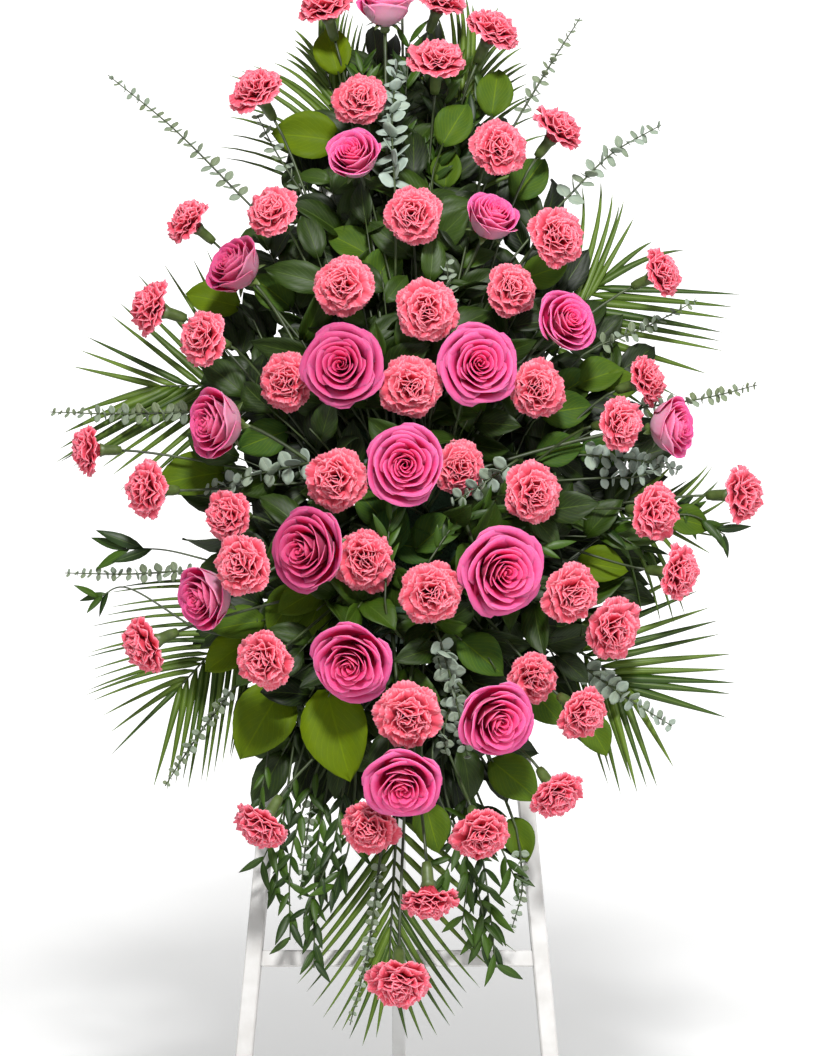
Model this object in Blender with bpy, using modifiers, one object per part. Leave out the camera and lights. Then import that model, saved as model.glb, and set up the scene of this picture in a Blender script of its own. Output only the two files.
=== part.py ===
"""A standing spray of pink carnations, roses and cut foliage on a white wooden easel.

Metres, +Z up, the front towards -Y. The easel's front frame leans back, and the spray hangs on it
in a caged block of floral foam. Flowers and leaves are placed where the photo shows them: a place
in the photo's 816 x 1056 pixels gives a line of sight, and a depth in front of the easel's face
says how far along it the piece lies.
"""

import math
import random

import bmesh
import bpy
from mathutils import Matrix, Vector
from mathutils.bvhtree import BVHTree

# The easel
FOOT_Y = -0.264  # where the front feet stand, so that the whole object is centred on the origin
LEAN = math.radians(12)
BOARD_WIDTH = 0.018
BOARD_DEPTH = 0.026
EASEL_CENTRE_X = -0.012
FOOT_SPREAD = 0.185  # from the middle to a front foot
TOP_SPREAD = 0.077  # from the middle to a front leg's top
LEG_TOP_Z = 1.28
CROSSBAR_Z = 0.321
RAIL_UP = 0.905  # up the slope, to the middle of the rail that the spray hangs on
HEAD_HEIGHT = 0.07
BOARD_ROUNDING = 0.0015
PAST_FLOOR = 0.03  # a leg is made longer by this, and then cut flat at the floor
FIT_GAP = 0.0003

# The rear leg and its pivot
REAR_OPEN = math.radians(27)
PIVOT_BEHIND = 0.046  # behind the easel's face
PIVOT_UP = 1.255
PIVOT_RADIUS = 0.003
REAR_SIZE = 0.018
BRACKET_WALL = 0.0025
BRACKET_HEIGHT = 0.04
EAR_PAST_PIVOT = 0.008
EAR_INSET = 0.002
BOLT_HEAD_RADIUS = 0.0055
BOLT_HEAD_THICK = 0.003
BORE_LOOSENESS = 1.07
ROUND_SIDES = 12
# The leg's end stands above its pivot just so far that, open, its corner meets the bracket's plate
PLATE_TO_PIVOT = PIVOT_BEHIND - BOARD_DEPTH - 2 * FIT_GAP - BRACKET_WALL
REAR_TAIL = (PLATE_TO_PIVOT - REAR_SIZE / 2 * math.cos(REAR_OPEN)) / math.sin(REAR_OPEN)

# The foam block and its cage
FOAM_SIZE = Vector((0.110, 0.230, 0.075))
FOAM_UP = 0.790
FOAM_FRONT = 0.083
CAGE_WALL = 0.003
CAGE_GAP = 0.0006
STRAP_WIDTH = 0.006
STRAP_ROWS = (-0.076, 0.0, 0.076)  # up from the block's middle
HOOK_HALF_WIDTH = 0.012
HOOK_DROP = 0.022
JOINED = 0.001  # how far pieces that are fused run into each other
ROOT_RADIUS = 0.0042
ROOT_DEPTH = 0.026
ROOT_SIDES = 4
ROOT_SHOWS = 0.010  # how far a bunch's root stands out of the foam
HOLE_GAP = 0.0006

# How the photo is seen
PHOTO_CENTRE = (408, 528)
METRES_PER_PIXEL = 0.0011  # at the spray's own distance
EYE_DISTANCE = 2.4
SPRAY_Y = FOOT_Y + 0.08
EYE = Vector((0.0, SPRAY_Y - EYE_DISTANCE, 0.792))

# Where the bunches leave the foam's sides, in front of its back. A root is a face of the block, the
# distance across it from the middle, and the other distance: up on the front, forward on a side
PALM_DEPTH = 0.013
RUSCUS_DEPTH = 0.028
SPRIG_DEPTH = 0.038
LEAF_DEPTH = 0.050
FLOWER_DEPTH = 0.060

# The dome that the flowers stand on
DOME_CENTRE = (405, 520)
DOME_HALF = (370, 640)
DOME_EDGE = 0.070
DOME_RISE = 0.135

STEM_RADIUS = 0.0019
BLADE_THICKNESS = 0.0008

# A carnation's head: radius and height of each ring, as shares of its radius, and how far the frill
# moves it. The head is open below, where its stem is sewn on
CARNATION_RADIUS = 0.0335
CARNATION_PROFILE = ((0.96, -0.02), (0.66, 0.10), (0.76, 0.40), (0.36, 0.34), (0.40, 0.64), (0, 0.50))
CARNATION_FRILL = (0.11, 0.06, 0.10, 0.05, 0.10, 0)
CARNATION_SIDES = 8
CARNATION_BASE = 0.42  # of the radius, from the head's middle back to its calyx
CARNATION_NECK = 0.018

# A rose's head: the rings with a petal's lip are moved out at the points and in between them
ROSE_RADIUS = 0.042
ROSE_PROFILE = ((0, -0.78), (0.30, -0.78), (0.72, -0.42), (1.0, 0.06), (0.76, -0.04), (0.78, 0.24),
                (0.54, 0.08), (0.54, 0.36), (0.26, 0.20), (0, 0.42))
ROSE_LIPS = (3, 5, 7)
ROSE_SIDES = 10
ROSE_NECK = 0.012
NECK_RADIUS = 0.006

SALMON = (0.86, 0.20, 0.22)
ROSE_PINK = (0.80, 0.09, 0.30)
STEM_GREEN = (0.10, 0.20, 0.05)
PALM_GREEN = (0.07, 0.16, 0.03)
LEAF_GREEN = (0.10, 0.21, 0.04)
SILVER_GREEN = (0.28, 0.36, 0.27)
DARK_GREEN = (0.03, 0.09, 0.02)
WHITE_PAINT = (0.80, 0.79, 0.77)
FOAM_GREEN = (0.05, 0.16, 0.07)
STEEL = (0.55, 0.55, 0.56)

# Carnations: photo x, photo y, how far it faces right and up in degrees, depth added, size
CARNATIONS = {
    "top": (("top", 0.0, FLOWER_DEPTH), [
        (326, 8, -25, 55, -0.012, 1.0), (440, 2, 35, 55, -0.024, 0.95),
        (492, 32, 40, 50, 0.00, 1.0), (437, 62, 5, 50, 0.01, 1.0), (400, -72, -5, 70, 0.0, 0.95)]),
    "upper_left": (("front", -0.040, 0.095), [
        (257, 92, -35, 40, 0.00, 1.0), (360, 100, -10, 15, -0.01, 0.95),
        (272, 213, -25, 20, 0.00, 0.93), (190, 222, -60, 35, -0.015, 0.9)]),
    "upper_right": (("front", 0.040, 0.095), [
        (557, 131, 55, 45, -0.02, 0.95), (498, 148, 15, 10, 0.005, 1.0),
        (556, 237, 30, 8, 0.00, 1.05), (660, 274, 60, 20, 0.00, 0.9)]),
    "middle_high": (("front", 0.019, 0.057), [
        (413, 216, 0, 5, 0.00, 1.0), (343, 286, -8, 5, 0.00, 1.0),
        (427, 311, 3, 3, 0.01, 1.05), (510, 290, 25, 5, -0.02, 0.93)]),
    "left": (("left", 0.057, FLOWER_DEPTH), [
        (153, 308, -65, 15, -0.005, 1.0), (204, 338, -40, 8, 0.00, 0.98),
        (90, 450, -72, 0, -0.01, 0.88), (148, 490, -50, 0, -0.005, 0.98)]),
    "middle": (("front", 0.019, 0.019), [
        (287, 382, -22, 0, -0.045, 1.0), (411, 387, 0, 0, -0.015, 1.05), (337, 479, -12, 0, -0.005, 1.02),
        (537, 390, 22, 0, -0.04, 1.0), (458, 468, 15, 0, -0.05, 0.95), (532, 493, 25, 0, 0.00, 1.02)]),
    "right": (("right", 0.019, FLOWER_DEPTH), [
        (645, 381, 60, 15, -0.03, 0.9), (619, 425, 45, 0, 0.00, 0.92), (740, 495, 58, 0, 0.00, 1.0),
        (654, 512, 40, -5, 0.00, 1.0), (677, 573, 55, -5, -0.005, 0.95)]),
    "middle_low": (("front", 0.019, -0.057), [
        (364, 560, -8, -3, -0.035, 1.05), (432, 593, 5, -5, 0.00, 1.02), (408, 716, 0, -18, 0.00, 1.1)]),
    "lower_left": (("front", -0.043, -0.057), [
        (229, 516, -35, 0, -0.025, 0.9), (243, 565, -30, -5, 0.035, 1.02),
        (146, 645, -60, -20, -0.01, 0.98), (265, 659, -28, -15, 0.00, 1.0)]),
    "lower_right": (("front", 0.043, -0.057), [
        (571, 593, 30, -12, -0.015, 1.02), (612, 629, 35, -15, -0.045, 1.05),
        (531, 678, 25, -10, -0.05, 0.9), (582, 713, 40, -25, -0.01, 0.95)]),
    "bottom": (("bottom", 0.0, FLOWER_DEPTH), [
        (262, 825, -40, -45, 0.00, 0.95), (556, 794, 35, -40, 0.00, 0.92), (369, 827, -15, -30, -0.045, 0.97),
        (480, 833, 15, -35, 0.00, 0.97), (429, 898, 10, -68, 0.00, 0.95), (399, 980, 0, -40, 0.00, 1.05)]),
}

# Roses: the same values, and which bunch of stems each stands on
ROSES = {
    "rose_01": (385, 2, 0, 65, 0.00, 0.82, "high"),
    "rose_02": (353, 154, -15, 25, 0.005, 0.85, "high"),
    "rose_03": (493, 215, 25, 40, -0.005, 0.82, "high"),
    "rose_04": (232, 264, -45, 30, 0.00, 0.88, "left"),
    "rose_05": (569, 318, 35, 25, 0.00, 0.90, "right"),
    "rose_06": (341, 365, -8, 3, 0.01, 1.08, "high"),
    "rose_07": (480, 364, 10, 3, 0.01, 1.06, "right"),
    "rose_08": (212, 423, -50, 0, 0.00, 0.96, "left"),
    "rose_09": (676, 427, 58, 0, -0.01, 0.85, "right"),
    "rose_10": (405, 465, 0, -3, 0.015, 1.04, "high"),
    "rose_11": (304, 550, -35, -3, 0.015, 1.12, "left"),
    "rose_12": (505, 573, 22, -8, 0.015, 1.15, "right"),
    "rose_13": (202, 598, -48, -10, -0.005, 0.9, "left"),
    "rose_14": (350, 665, -10, -18, 0.01, 1.06, "low"),
    "rose_15": (499, 722, 22, -15, 0.01, 1.02, "low"),
    "rose_16": (403, 788, 0, -28, 0.015, 1.02, "low"),
}
ROSE_ROOTS = {
    "high": ("front", -0.019, 0.095), "left": ("front", -0.043, 0.019),
    "right": ("front", 0.043, 0.057), "low": ("front", -0.019, -0.095),
}

# Palm fronds: root, depth, photo points of the rib from its first leaflet to its end, the leaflets
# on a side, their length at the widest, and the turn of the first and the last from the rib
PALMS = {
    "palm_left_high": (("left", 0.057, PALM_DEPTH), 0.022,
        [(285, 400), (225, 386), (156, 385)], 12, 0.125, 62, 10),
    "palm_left_low": (("left", -0.057, PALM_DEPTH), 0.026,
        [(268, 585), (222, 640), (177, 690)], 12, 0.125, 60, 10),
    "palm_top_left": (("top", -0.036, PALM_DEPTH), 0.022,
        [(385, 250), (352, 150), (322, 60)], 11, 0.120, 50, 10),
    "palm_top_right": (("top", 0.036, PALM_DEPTH), 0.044,
        [(425, 235), (445, 150), (472, 66)], 11, 0.115, 50, 10),
    "palm_right_high": (("right", 0.057, PALM_DEPTH), 0.020,
        [(540, 315), (605, 292), (660, 278)], 12, 0.120, 66, 10),
    "palm_right_middle": (("right", 0.019, PALM_DEPTH), 0.042,
        [(600, 500), (640, 515), (672, 530)], 9, 0.085, 60, 14),
    "palm_right_low": (("right", -0.057, PALM_DEPTH), 0.022,
        [(560, 628), (612, 662), (655, 700)], 12, 0.125, 64, 10),
    "palm_bottom": (("bottom", -0.030, PALM_DEPTH), 0.026,
        [(398, 800), (393, 890), (389, 965)], 13, 0.135, 42, 8),
}

# Sprigs of eucalyptus: photo points from the root side to the tip, depth at the first and last,
# pairs of leaves, and a leaf's length
EUCALYPTUS = {
    "eucalyptus_high_left": (("top", -0.018, SPRIG_DEPTH), [
        ([(245, 200), (175, 130), (108, 75)], 0.050, 0.045, 9, 0.011),
        ([(395, 190), (392, 120), (398, 60)], 0.150, 0.110, 6, 0.014)]),
    "eucalyptus_high_right": (("top", 0.018, SPRIG_DEPTH), [
        ([(520, 115), (552, 62), (580, 18)], 0.060, 0.050, 7, 0.010),
        ([(565, 200), (610, 155), (661, 125)], 0.060, 0.055, 6, 0.016)]),
    "eucalyptus_left": (("left", 0.019, SPRIG_DEPTH), [
        ([(190, 412), (120, 414), (50, 412)], 0.052, 0.045, 8, 0.013),
        ([(195, 570), (130, 574), (65, 573)], 0.052, 0.045, 7, 0.011)]),
    "eucalyptus_right": (("right", 0.057, SPRIG_DEPTH), [
        ([(640, 408), (705, 398), (757, 385)], 0.060, 0.055, 6, 0.014),
        ([(600, 345), (650, 325), (697, 300)], 0.055, 0.050, 5, 0.013)]),
    "eucalyptus_low": (("bottom", 0.018, SPRIG_DEPTH), [
        ([(585, 668), (630, 700), (672, 726)], 0.058, 0.058, 5, 0.014),
        ([(520, 850), (522, 890), (512, 928)], 0.060, 0.055, 5, 0.010),
        ([(232, 690), (195, 740), (165, 786)], 0.055, 0.050, 6, 0.011),
        ([(380, 860), (368, 950), (350, 1025)], 0.052, 0.052, 7, 0.012)]),
}

# Broad leaves: photo place of the middle, its direction in degrees (0 right, 90 up), depth, length
BROAD_LEAVES = {
    "broad_leaves_high": (("front", 0.019, 0.095), [
        (305, 135, 172, 0.055, 0.066), (332, 52, 105, 0.055, 0.060), (495, 92, 82, 0.060, 0.058),
        (455, 120, 70, 0.070, 0.056), (530, 178, 55, 0.060, 0.062), (350, 245, 150, 0.085, 0.060),
        (386, 268, 60, 0.105, 0.060)]),
    "broad_leaves_left": (("left", -0.019, LEAF_DEPTH), [
        (212, 300, 165, 0.060, 0.060), (190, 478, 190, 0.055, 0.075), (272, 300, 140, 0.075, 0.058),
        (262, 440, 200, 0.080, 0.060), (285, 610, 235, 0.085, 0.062), (228, 655, 215, 0.050, 0.060)]),
    "broad_leaves_right": (("right", -0.019, LEAF_DEPTH), [
        (600, 378, 20, 0.060, 0.060), (568, 410, 10, 0.075, 0.060), (603, 566, 350, 0.065, 0.058),
        (690, 522, 345, 0.050, 0.050), (560, 450, 15, 0.085, 0.055), (545, 705, 310, 0.060, 0.056)]),
    "broad_leaves_low": (("front", 0.019, -0.095), [
        (262, 722, 240, 0.060, 0.092), (340, 735, 285, 0.075, 0.098), (515, 780, 320, 0.080, 0.066),
        (480, 655, 320, 0.105, 0.058), (432, 828, 285, 0.070, 0.056), (300, 600, 210, 0.105, 0.056)]),
}

# Hanging stems of narrow pointed leaves: photo points from the root side to the tip, depth, leaves
RUSCUS = {
    "ruscus_left": (("left", -0.095, RUSCUS_DEPTH), [
        ([(330, 770), (312, 860), (318, 960)], 0.048, 8),
        ([(300, 770), (265, 820), (240, 880)], 0.052, 6),
        ([(215, 560), (150, 545), (110, 548)], 0.062, 5),
        ([(190, 640), (140, 600), (88, 596)], 0.060, 4)]),
    "ruscus_right": (("bottom", 0.044, RUSCUS_DEPTH), [
        ([(470, 790), (492, 880), (500, 965)], 0.048, 7),
        ([(440, 800), (470, 860), (462, 930)], 0.062, 5)]),
}

LEAF_BASE = 0.003
SMALL_LEAF = 0.0115  # a eucalyptus leaf shorter than this is a plain point on a longer base
SMALL_LEAF_BASE = 0.005
RUSCUS_LEAF = 0.034
BROAD_OUTLINE = ((0, 0.02), (0.28, 0.25), (0.64, 0.25), (1, 0))  # share of the length, half width
BROAD_FOLD = 0.22
TRIES = 150
RANDOM_SEED = 11


def clear_scene():
    for old in list(bpy.data.objects):
        bpy.data.objects.remove(old, do_unlink=True)


def collection(name, hidden=False):
    made = bpy.data.collections.new(name)
    bpy.context.scene.collection.children.link(made)
    made.hide_render = hidden
    return made


def material(name, colour, roughness, metallic=0.0):
    made = bpy.data.materials.new(name)
    made.use_nodes = True
    shader = made.node_tree.nodes["Principled BSDF"]
    shader.inputs["Base Color"].default_value = (*colour, 1.0)
    shader.inputs["Roughness"].default_value = roughness
    shader.inputs["Metallic"].default_value = metallic
    made.diffuse_color = (*colour, 1.0)
    return made


def mesh_object(name, bm, home, paint=None):
    bmesh.ops.recalc_face_normals(bm, faces=bm.faces)
    mesh = bpy.data.meshes.new(name)
    bm.to_mesh(mesh)
    bm.free()
    made = bpy.data.objects.new(name, mesh)
    home.objects.link(made)
    if paint:
        mesh.materials.append(paint)
    return made


# Places

SLOPE_UP = Vector((0, math.sin(LEAN), math.cos(LEAN)))
SLOPE_OUT = Vector((0, -math.cos(LEAN), math.sin(LEAN)))
FOOT_LINE = Vector((0, FOOT_Y, 0))


def on_slope(across, up, out):
    """The point this far across, up the easel's face and out in front of it."""
    return FOOT_LINE + Vector((across, 0, 0)) + up * SLOPE_UP + out * SLOPE_OUT


def spot(pixel_x, pixel_y, out):
    """The point that shows at this place in the photo, `out` in front of the easel's face."""
    reach = METRES_PER_PIXEL / EYE_DISTANCE
    ray = Vector(((pixel_x - PHOTO_CENTRE[0]) * reach, 1, (PHOTO_CENTRE[1] - pixel_y) * reach))
    along = (out - (EYE - FOOT_LINE).dot(SLOPE_OUT)) / ray.dot(SLOPE_OUT)
    return EYE + along * ray


def dome(pixel_x, pixel_y):
    """How far out the flowers stand here: most in the middle, least at the edge."""
    across = (pixel_x - DOME_CENTRE[0]) / DOME_HALF[0]
    up = (pixel_y - DOME_CENTRE[1]) / DOME_HALF[1]
    return DOME_EDGE + DOME_RISE * max(0, 1 - across * across - up * up)


def facing(right_deg, up_deg):
    right, up = math.radians(right_deg), math.radians(up_deg)
    return Vector((math.sin(right) * math.cos(up), -math.cos(right) * math.cos(up), math.sin(up)))


def root_place(root):
    """Where a bunch leaves the foam, and the direction out of it."""
    face, along, other = root
    half = FOAM_SIZE / 2
    if face == "front":
        return on_slope(along, FOAM_UP + other, FOAM_FRONT), SLOPE_OUT.copy()
    depth = FOAM_FRONT - FOAM_SIZE.z + other
    if face in ("left", "right"):
        side = -1 if face == "left" else 1
        return on_slope(side * half.x, FOAM_UP + along, depth), Vector((side, 0, 0))
    side = -1 if face == "bottom" else 1
    return on_slope(along, FOAM_UP + side * half.y, depth), side * SLOPE_UP


def frame_along(direction, toward=SLOPE_OUT):
    """A rotation whose Z runs along `direction` and whose Y leans towards `toward`."""
    z = direction.normalized()
    x = toward.cross(z)
    if x.length < 1e-4:
        x = Vector((1, 0, 0)).cross(z)
    x.normalize()
    return Matrix((x, z.cross(x), z)).transposed().to_4x4()


# Boards

def board(name, start, end, home, paint, width=BOARD_WIDTH, depth=BOARD_DEPTH, middle_out=0.0):
    """A rounded board between two points of the slope, `middle_out` from the easel's face."""
    bm = bmesh.new()
    bmesh.ops.create_cube(bm, size=1)
    length = (end - start).length
    bmesh.ops.scale(bm, vec=(width, depth, length), verts=bm.verts)
    turn = frame_along(end - start)
    turn.translation = (start + end) / 2 + middle_out * SLOPE_OUT
    bmesh.ops.transform(bm, matrix=turn, verts=bm.verts)
    return mesh_object(name, bm, home, paint)


def cut_flat(obj, point, normal):
    """Takes off what lies beyond a plane, and closes the cut."""
    bm = bmesh.new()
    bm.from_mesh(obj.data)
    geometry = bm.verts[:] + bm.edges[:] + bm.faces[:]
    bmesh.ops.bisect_plane(bm, geom=geometry, plane_co=point, plane_no=normal, clear_outer=True)
    bmesh.ops.holes_fill(bm, edges=[e for e in bm.edges if e.is_boundary])
    bmesh.ops.recalc_face_normals(bm, faces=bm.faces)
    bm.to_mesh(obj.data)
    bm.free()


def round_edges(obj, width=BOARD_ROUNDING):
    rounding = obj.modifiers.new("Rounded edges", "BEVEL")
    rounding.width = width
    rounding.segments = 1
    rounding.limit_method = "ANGLE"


def cylinder(name, centre, axis, radius, length, sides, home):
    bm = bmesh.new()
    place = frame_along(axis)
    place.translation = centre
    bmesh.ops.create_cone(bm, cap_ends=True, segments=sides, radius1=radius, radius2=radius,
                          depth=length, matrix=place)
    return mesh_object(name, bm, home)


def leg_place(side, z):
    """The middle of a front leg's face at this height."""
    share = z / LEG_TOP_Z
    spread = FOOT_SPREAD + (TOP_SPREAD - FOOT_SPREAD) * share
    return Vector((EASEL_CENTRE_X + side * spread, FOOT_Y + z * math.tan(LEAN), z))


def front_frame(home, paint):
    middle_out = -BOARD_DEPTH / 2
    inner = {}
    for side, name in ((-1, "left_leg"), (1, "right_leg")):
        foot, top = leg_place(side, 0), leg_place(side, LEG_TOP_Z)
        along = (top - foot).normalized()
        leg = board(name, foot - PAST_FLOOR * along, top, home, paint, middle_out=middle_out)
        cut_flat(leg, Vector((0, 0, 0)), Vector((0, 0, -1)))
        round_edges(leg)
        outward = along.cross(SLOPE_OUT).normalized()
        if outward.x * side < 0:
            outward.negate()
        inner[side] = (foot - (BOARD_WIDTH / 2 + FIT_GAP) * outward, outward)

    def between(name, up, height):
        low = on_slope(EASEL_CENTRE_X, up - height / 2, 0)
        bar = board(name, low, low + height * SLOPE_UP, home, paint, width=0.5, middle_out=middle_out)
        for point, normal in inner.values():
            cut_flat(bar, point, normal)
        round_edges(bar)

    between("crossbar", CROSSBAR_Z / math.cos(LEAN), BOARD_WIDTH)
    between("hanging_rail", RAIL_UP, BOARD_WIDTH)
    between("head_board", PIVOT_UP, HEAD_HEIGHT)


def apply_modifiers(obj):
    """Puts the evaluated mesh in place of the object's own."""
    graph = bpy.context.evaluated_depsgraph_get()
    finished = bpy.data.meshes.new_from_object(obj.evaluated_get(graph))
    obj.modifiers.clear()
    obj.data = finished


def cut_by(obj, cutters, name="Cut"):
    cut = obj.modifiers.new(name, "BOOLEAN")
    cut.operation = "DIFFERENCE"
    cut.operand_type = "COLLECTION"
    cut.collection = cutters


def keep_one_body(obj):
    """Drops loose scraps, and fills hollows that fusing sealed, by keeping only the largest shell."""
    bm = bmesh.new()
    bm.from_mesh(obj.data)
    shells, seen = [], set()
    for first in bm.verts:
        if first in seen:
            continue
        shell, waiting = {first}, [first]
        while waiting:
            for edge in waiting.pop().link_edges:
                for vertex in edge.verts:
                    if vertex not in shell:
                        shell.add(vertex)
                        waiting.append(vertex)
        seen |= shell
        shells.append(shell)
    largest = max(shells, key=len)
    bmesh.ops.delete(bm, geom=[v for v in bm.verts if v not in largest], context="VERTS")
    bm.to_mesh(obj.data)
    bm.free()


def fuse(name, pieces, home, paint):
    """One body from pieces that overlap."""
    joined = collection(name + " pieces")
    base = pieces[0]
    for piece in pieces[1:]:
        home.objects.unlink(piece)
        joined.objects.link(piece)
    if len(pieces) > 1:
        union = base.modifiers.new("Join", "BOOLEAN")
        union.operation = "UNION"
        union.operand_type = "COLLECTION"
        union.collection = joined
        union.solver = "MANIFOLD"
        bpy.context.view_layer.update()
        apply_modifiers(base)
    for piece in list(joined.objects):
        bpy.data.objects.remove(piece, do_unlink=True)
    bpy.data.collections.remove(joined)
    keep_one_body(base)
    base.name = name
    base.data.materials.clear()
    base.data.materials.append(paint)
    return base


def rear_leg_direction():
    """Down the rear leg, from its pivot to the floor."""
    return (Matrix.Rotation(REAR_OPEN, 3, "X") @ -SLOPE_UP).normalized()


def hinge(home, cutters_home, wood, steel):
    """A bracket on the back of the head board, the bolt through it, and the leg that turns on the bolt."""
    pivot = on_slope(EASEL_CENTRE_X, PIVOT_UP, -PIVOT_BEHIND)
    across = Vector((1, 0, 0))
    inside = REAR_SIZE / 2 + 2 * FIT_GAP
    plate_front = -BOARD_DEPTH - FIT_GAP
    plate_out = plate_front - BRACKET_WALL / 2
    low = on_slope(EASEL_CENTRE_X, PIVOT_UP - BRACKET_HEIGHT / 2, 0)
    high = low + BRACKET_HEIGHT * SLOPE_UP
    plate = board("plate", low, high, home, steel, 2 * (inside + 2 * BRACKET_WALL), BRACKET_WALL, plate_out)
    ear_front = plate_front - BRACKET_WALL / 2
    ear_depth = PIVOT_BEHIND + EAR_PAST_PIVOT + ear_front
    inset = EAR_INSET * SLOPE_UP
    ears = []
    for side in (-1, 1):
        shift = side * (inside + BRACKET_WALL / 2) * across
        ears.append(board("ear", low + shift + inset, high + shift - inset, home, steel, BRACKET_WALL,
                          ear_depth, ear_front - ear_depth / 2))
    bracket = fuse("hinge_bracket", [plate] + ears, home, steel)

    bolt_length = 2 * (inside + BRACKET_WALL + FIT_GAP)
    shank = cylinder("shank", pivot, across, PIVOT_RADIUS, bolt_length + 2 * JOINED, ROUND_SIDES, home)
    heads = []
    for side in (-1, 1):
        centre = pivot + side * (bolt_length + BOLT_HEAD_THICK) / 2 * across
        heads.append(cylinder("head", centre, across, BOLT_HEAD_RADIUS, BOLT_HEAD_THICK, 6, home))
    fuse("pivot_bolt", [shank] + heads, home, steel)

    down = rear_leg_direction()
    reach = pivot.z / -down.z + PAST_FLOOR
    leg = board("rear_leg", pivot - REAR_TAIL * down, pivot + reach * down, home, wood,
                REAR_SIZE, REAR_SIZE)
    cut_flat(leg, Vector((0, 0, 0)), Vector((0, 0, -1)))
    round_edges(leg)
    bore = cylinder("pivot_bore", pivot, across, PIVOT_RADIUS * BORE_LOOSENESS, 2 * bolt_length,
                    ROUND_SIDES, cutters_home)
    for obj in (bracket, leg):
        apply_modifiers(obj)
        drill = obj.modifiers.new("Pivot hole", "BOOLEAN")
        drill.object = bore
        drill.operation = "DIFFERENCE"


# The foam block and its cage

def box_on_slope(name, low, high, home):
    """A box from one corner to the other, in distances across, up and out."""
    bm = bmesh.new()
    bmesh.ops.create_cube(bm, size=1)
    low, high = Vector(low), Vector(high)
    bmesh.ops.scale(bm, vec=high - low, verts=bm.verts)
    bmesh.ops.translate(bm, vec=(low + high) / 2, verts=bm.verts)
    for vertex in bm.verts:
        vertex.co = on_slope(*vertex.co)
    return mesh_object(name, bm, home)


def foam_and_cage(home, cutters_home, foam_paint, cage_paint, roots):
    half = FOAM_SIZE / 2
    back = FOAM_FRONT - FOAM_SIZE.z
    foam = box_on_slope("foam_block", (-half.x, FOAM_UP - half.y, back),
                        (half.x, FOAM_UP + half.y, FOAM_FRONT), home)
    foam.data.materials.append(foam_paint)
    holes = collection("root holes", hidden=True)
    cutters_home.children.link(holes)
    bpy.context.scene.collection.children.unlink(holes)
    for number, root in enumerate(roots):
        mouth, outward = root_place(root)
        hole = cylinder("hole_%02d" % number, mouth - (ROOT_DEPTH / 2) * outward, outward,
                        ROOT_RADIUS + HOLE_GAP, ROOT_DEPTH + 0.006, ROOT_SIDES, holes)
        hole.hide_render = True
        hole.display_type = "WIRE"
    cut_by(foam, holes)

    side, top = half.x + CAGE_GAP, half.y + CAGE_GAP
    plate_back = back - CAGE_GAP - CAGE_WALL
    front = FOAM_FRONT + CAGE_GAP
    pieces = [box_on_slope("plate", (-side - CAGE_WALL, FOAM_UP - top - CAGE_WALL, plate_back),
                           (side + CAGE_WALL, FOAM_UP + top + CAGE_WALL, plate_back + CAGE_WALL), home)]
    for row in STRAP_ROWS:
        low, high = FOAM_UP + row - STRAP_WIDTH / 2, FOAM_UP + row + STRAP_WIDTH / 2
        for edge in (-side - CAGE_WALL, side):
            pieces.append(box_on_slope("side", (edge, low, plate_back + JOINED),
                                       (edge + CAGE_WALL, high, front + CAGE_WALL), home))
        pieces.append(box_on_slope("strap", (-side - JOINED, low, front),
                                   (side + JOINED, high, front + CAGE_WALL), home))
    rail_top = RAIL_UP + BOARD_WIDTH / 2 + FIT_GAP
    wide = HOOK_HALF_WIDTH
    lip_back = -BOARD_DEPTH - FIT_GAP - CAGE_WALL
    pieces.append(box_on_slope("hook_rise", (-wide, FOAM_UP + top - HOOK_DROP, plate_back + JOINED / 2),
                               (wide, rail_top + CAGE_WALL, plate_back + CAGE_WALL - JOINED / 2), home))
    pieces.append(box_on_slope("hook_top", (-wide, rail_top, lip_back),
                               (wide, rail_top + CAGE_WALL, plate_back + CAGE_WALL), home))
    pieces.append(box_on_slope("hook_lip", (-wide, rail_top - HOOK_DROP, lip_back),
                               (wide, rail_top + JOINED, lip_back + CAGE_WALL), home))
    fuse("foam_cage", pieces, home, cage_paint)


# Stems and leaves

def tube(name, points, radii, home):
    """A four-sided tube along points, with a radius at each."""
    data = bpy.data.curves.new(name, "CURVE")
    data.dimensions = "3D"
    data.bevel_depth = 1.0
    data.bevel_resolution = 0
    data.use_fill_caps = True
    line = data.splines.new("POLY")
    line.points.add(len(points) - 1)
    for place, point, radius in zip(line.points, points, radii):
        place.co = (*point, 1)
        place.radius = radius
    curve = bpy.data.objects.new(name, data)
    home.objects.link(curve)
    bpy.context.view_layer.update()
    graph = bpy.context.evaluated_depsgraph_get()
    mesh = bpy.data.meshes.new_from_object(curve.evaluated_get(graph))
    bpy.data.objects.remove(curve, do_unlink=True)
    bm = bmesh.new()
    bm.from_mesh(mesh)
    bpy.data.meshes.remove(mesh)
    bmesh.ops.remove_doubles(bm, verts=bm.verts, dist=1e-5)
    return mesh_object(name, bm, home)


def bend(start, leave, end, arrive, count):
    """Points on a smooth arc that leaves and arrives along these two vectors."""
    points = []
    for step in range(count + 1):
        t = step / count
        s = 1 - t
        points.append(s ** 3 * start + 3 * s * s * t * (start + leave)
                      + 3 * s * t * t * (end - arrive) + t ** 3 * end)
    return points


def smooth_path(corners, count):
    """Points along a soft curve through the corners."""
    padded = [2 * corners[0] - corners[1]] + corners + [2 * corners[-1] - corners[-2]]
    spans = len(corners) - 1
    points = []
    for step in range(count + 1):
        place = min(step * spans / count, spans - 1e-6)
        i = int(place)
        t = place - i
        a, b, c, d = padded[i:i + 4]
        points.append(0.5 * (2 * b + (c - a) * t + (2 * a - 5 * b + 4 * c - d) * t * t
                             + (3 * b - a - 3 * c + d) * t ** 3))
    return points


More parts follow.
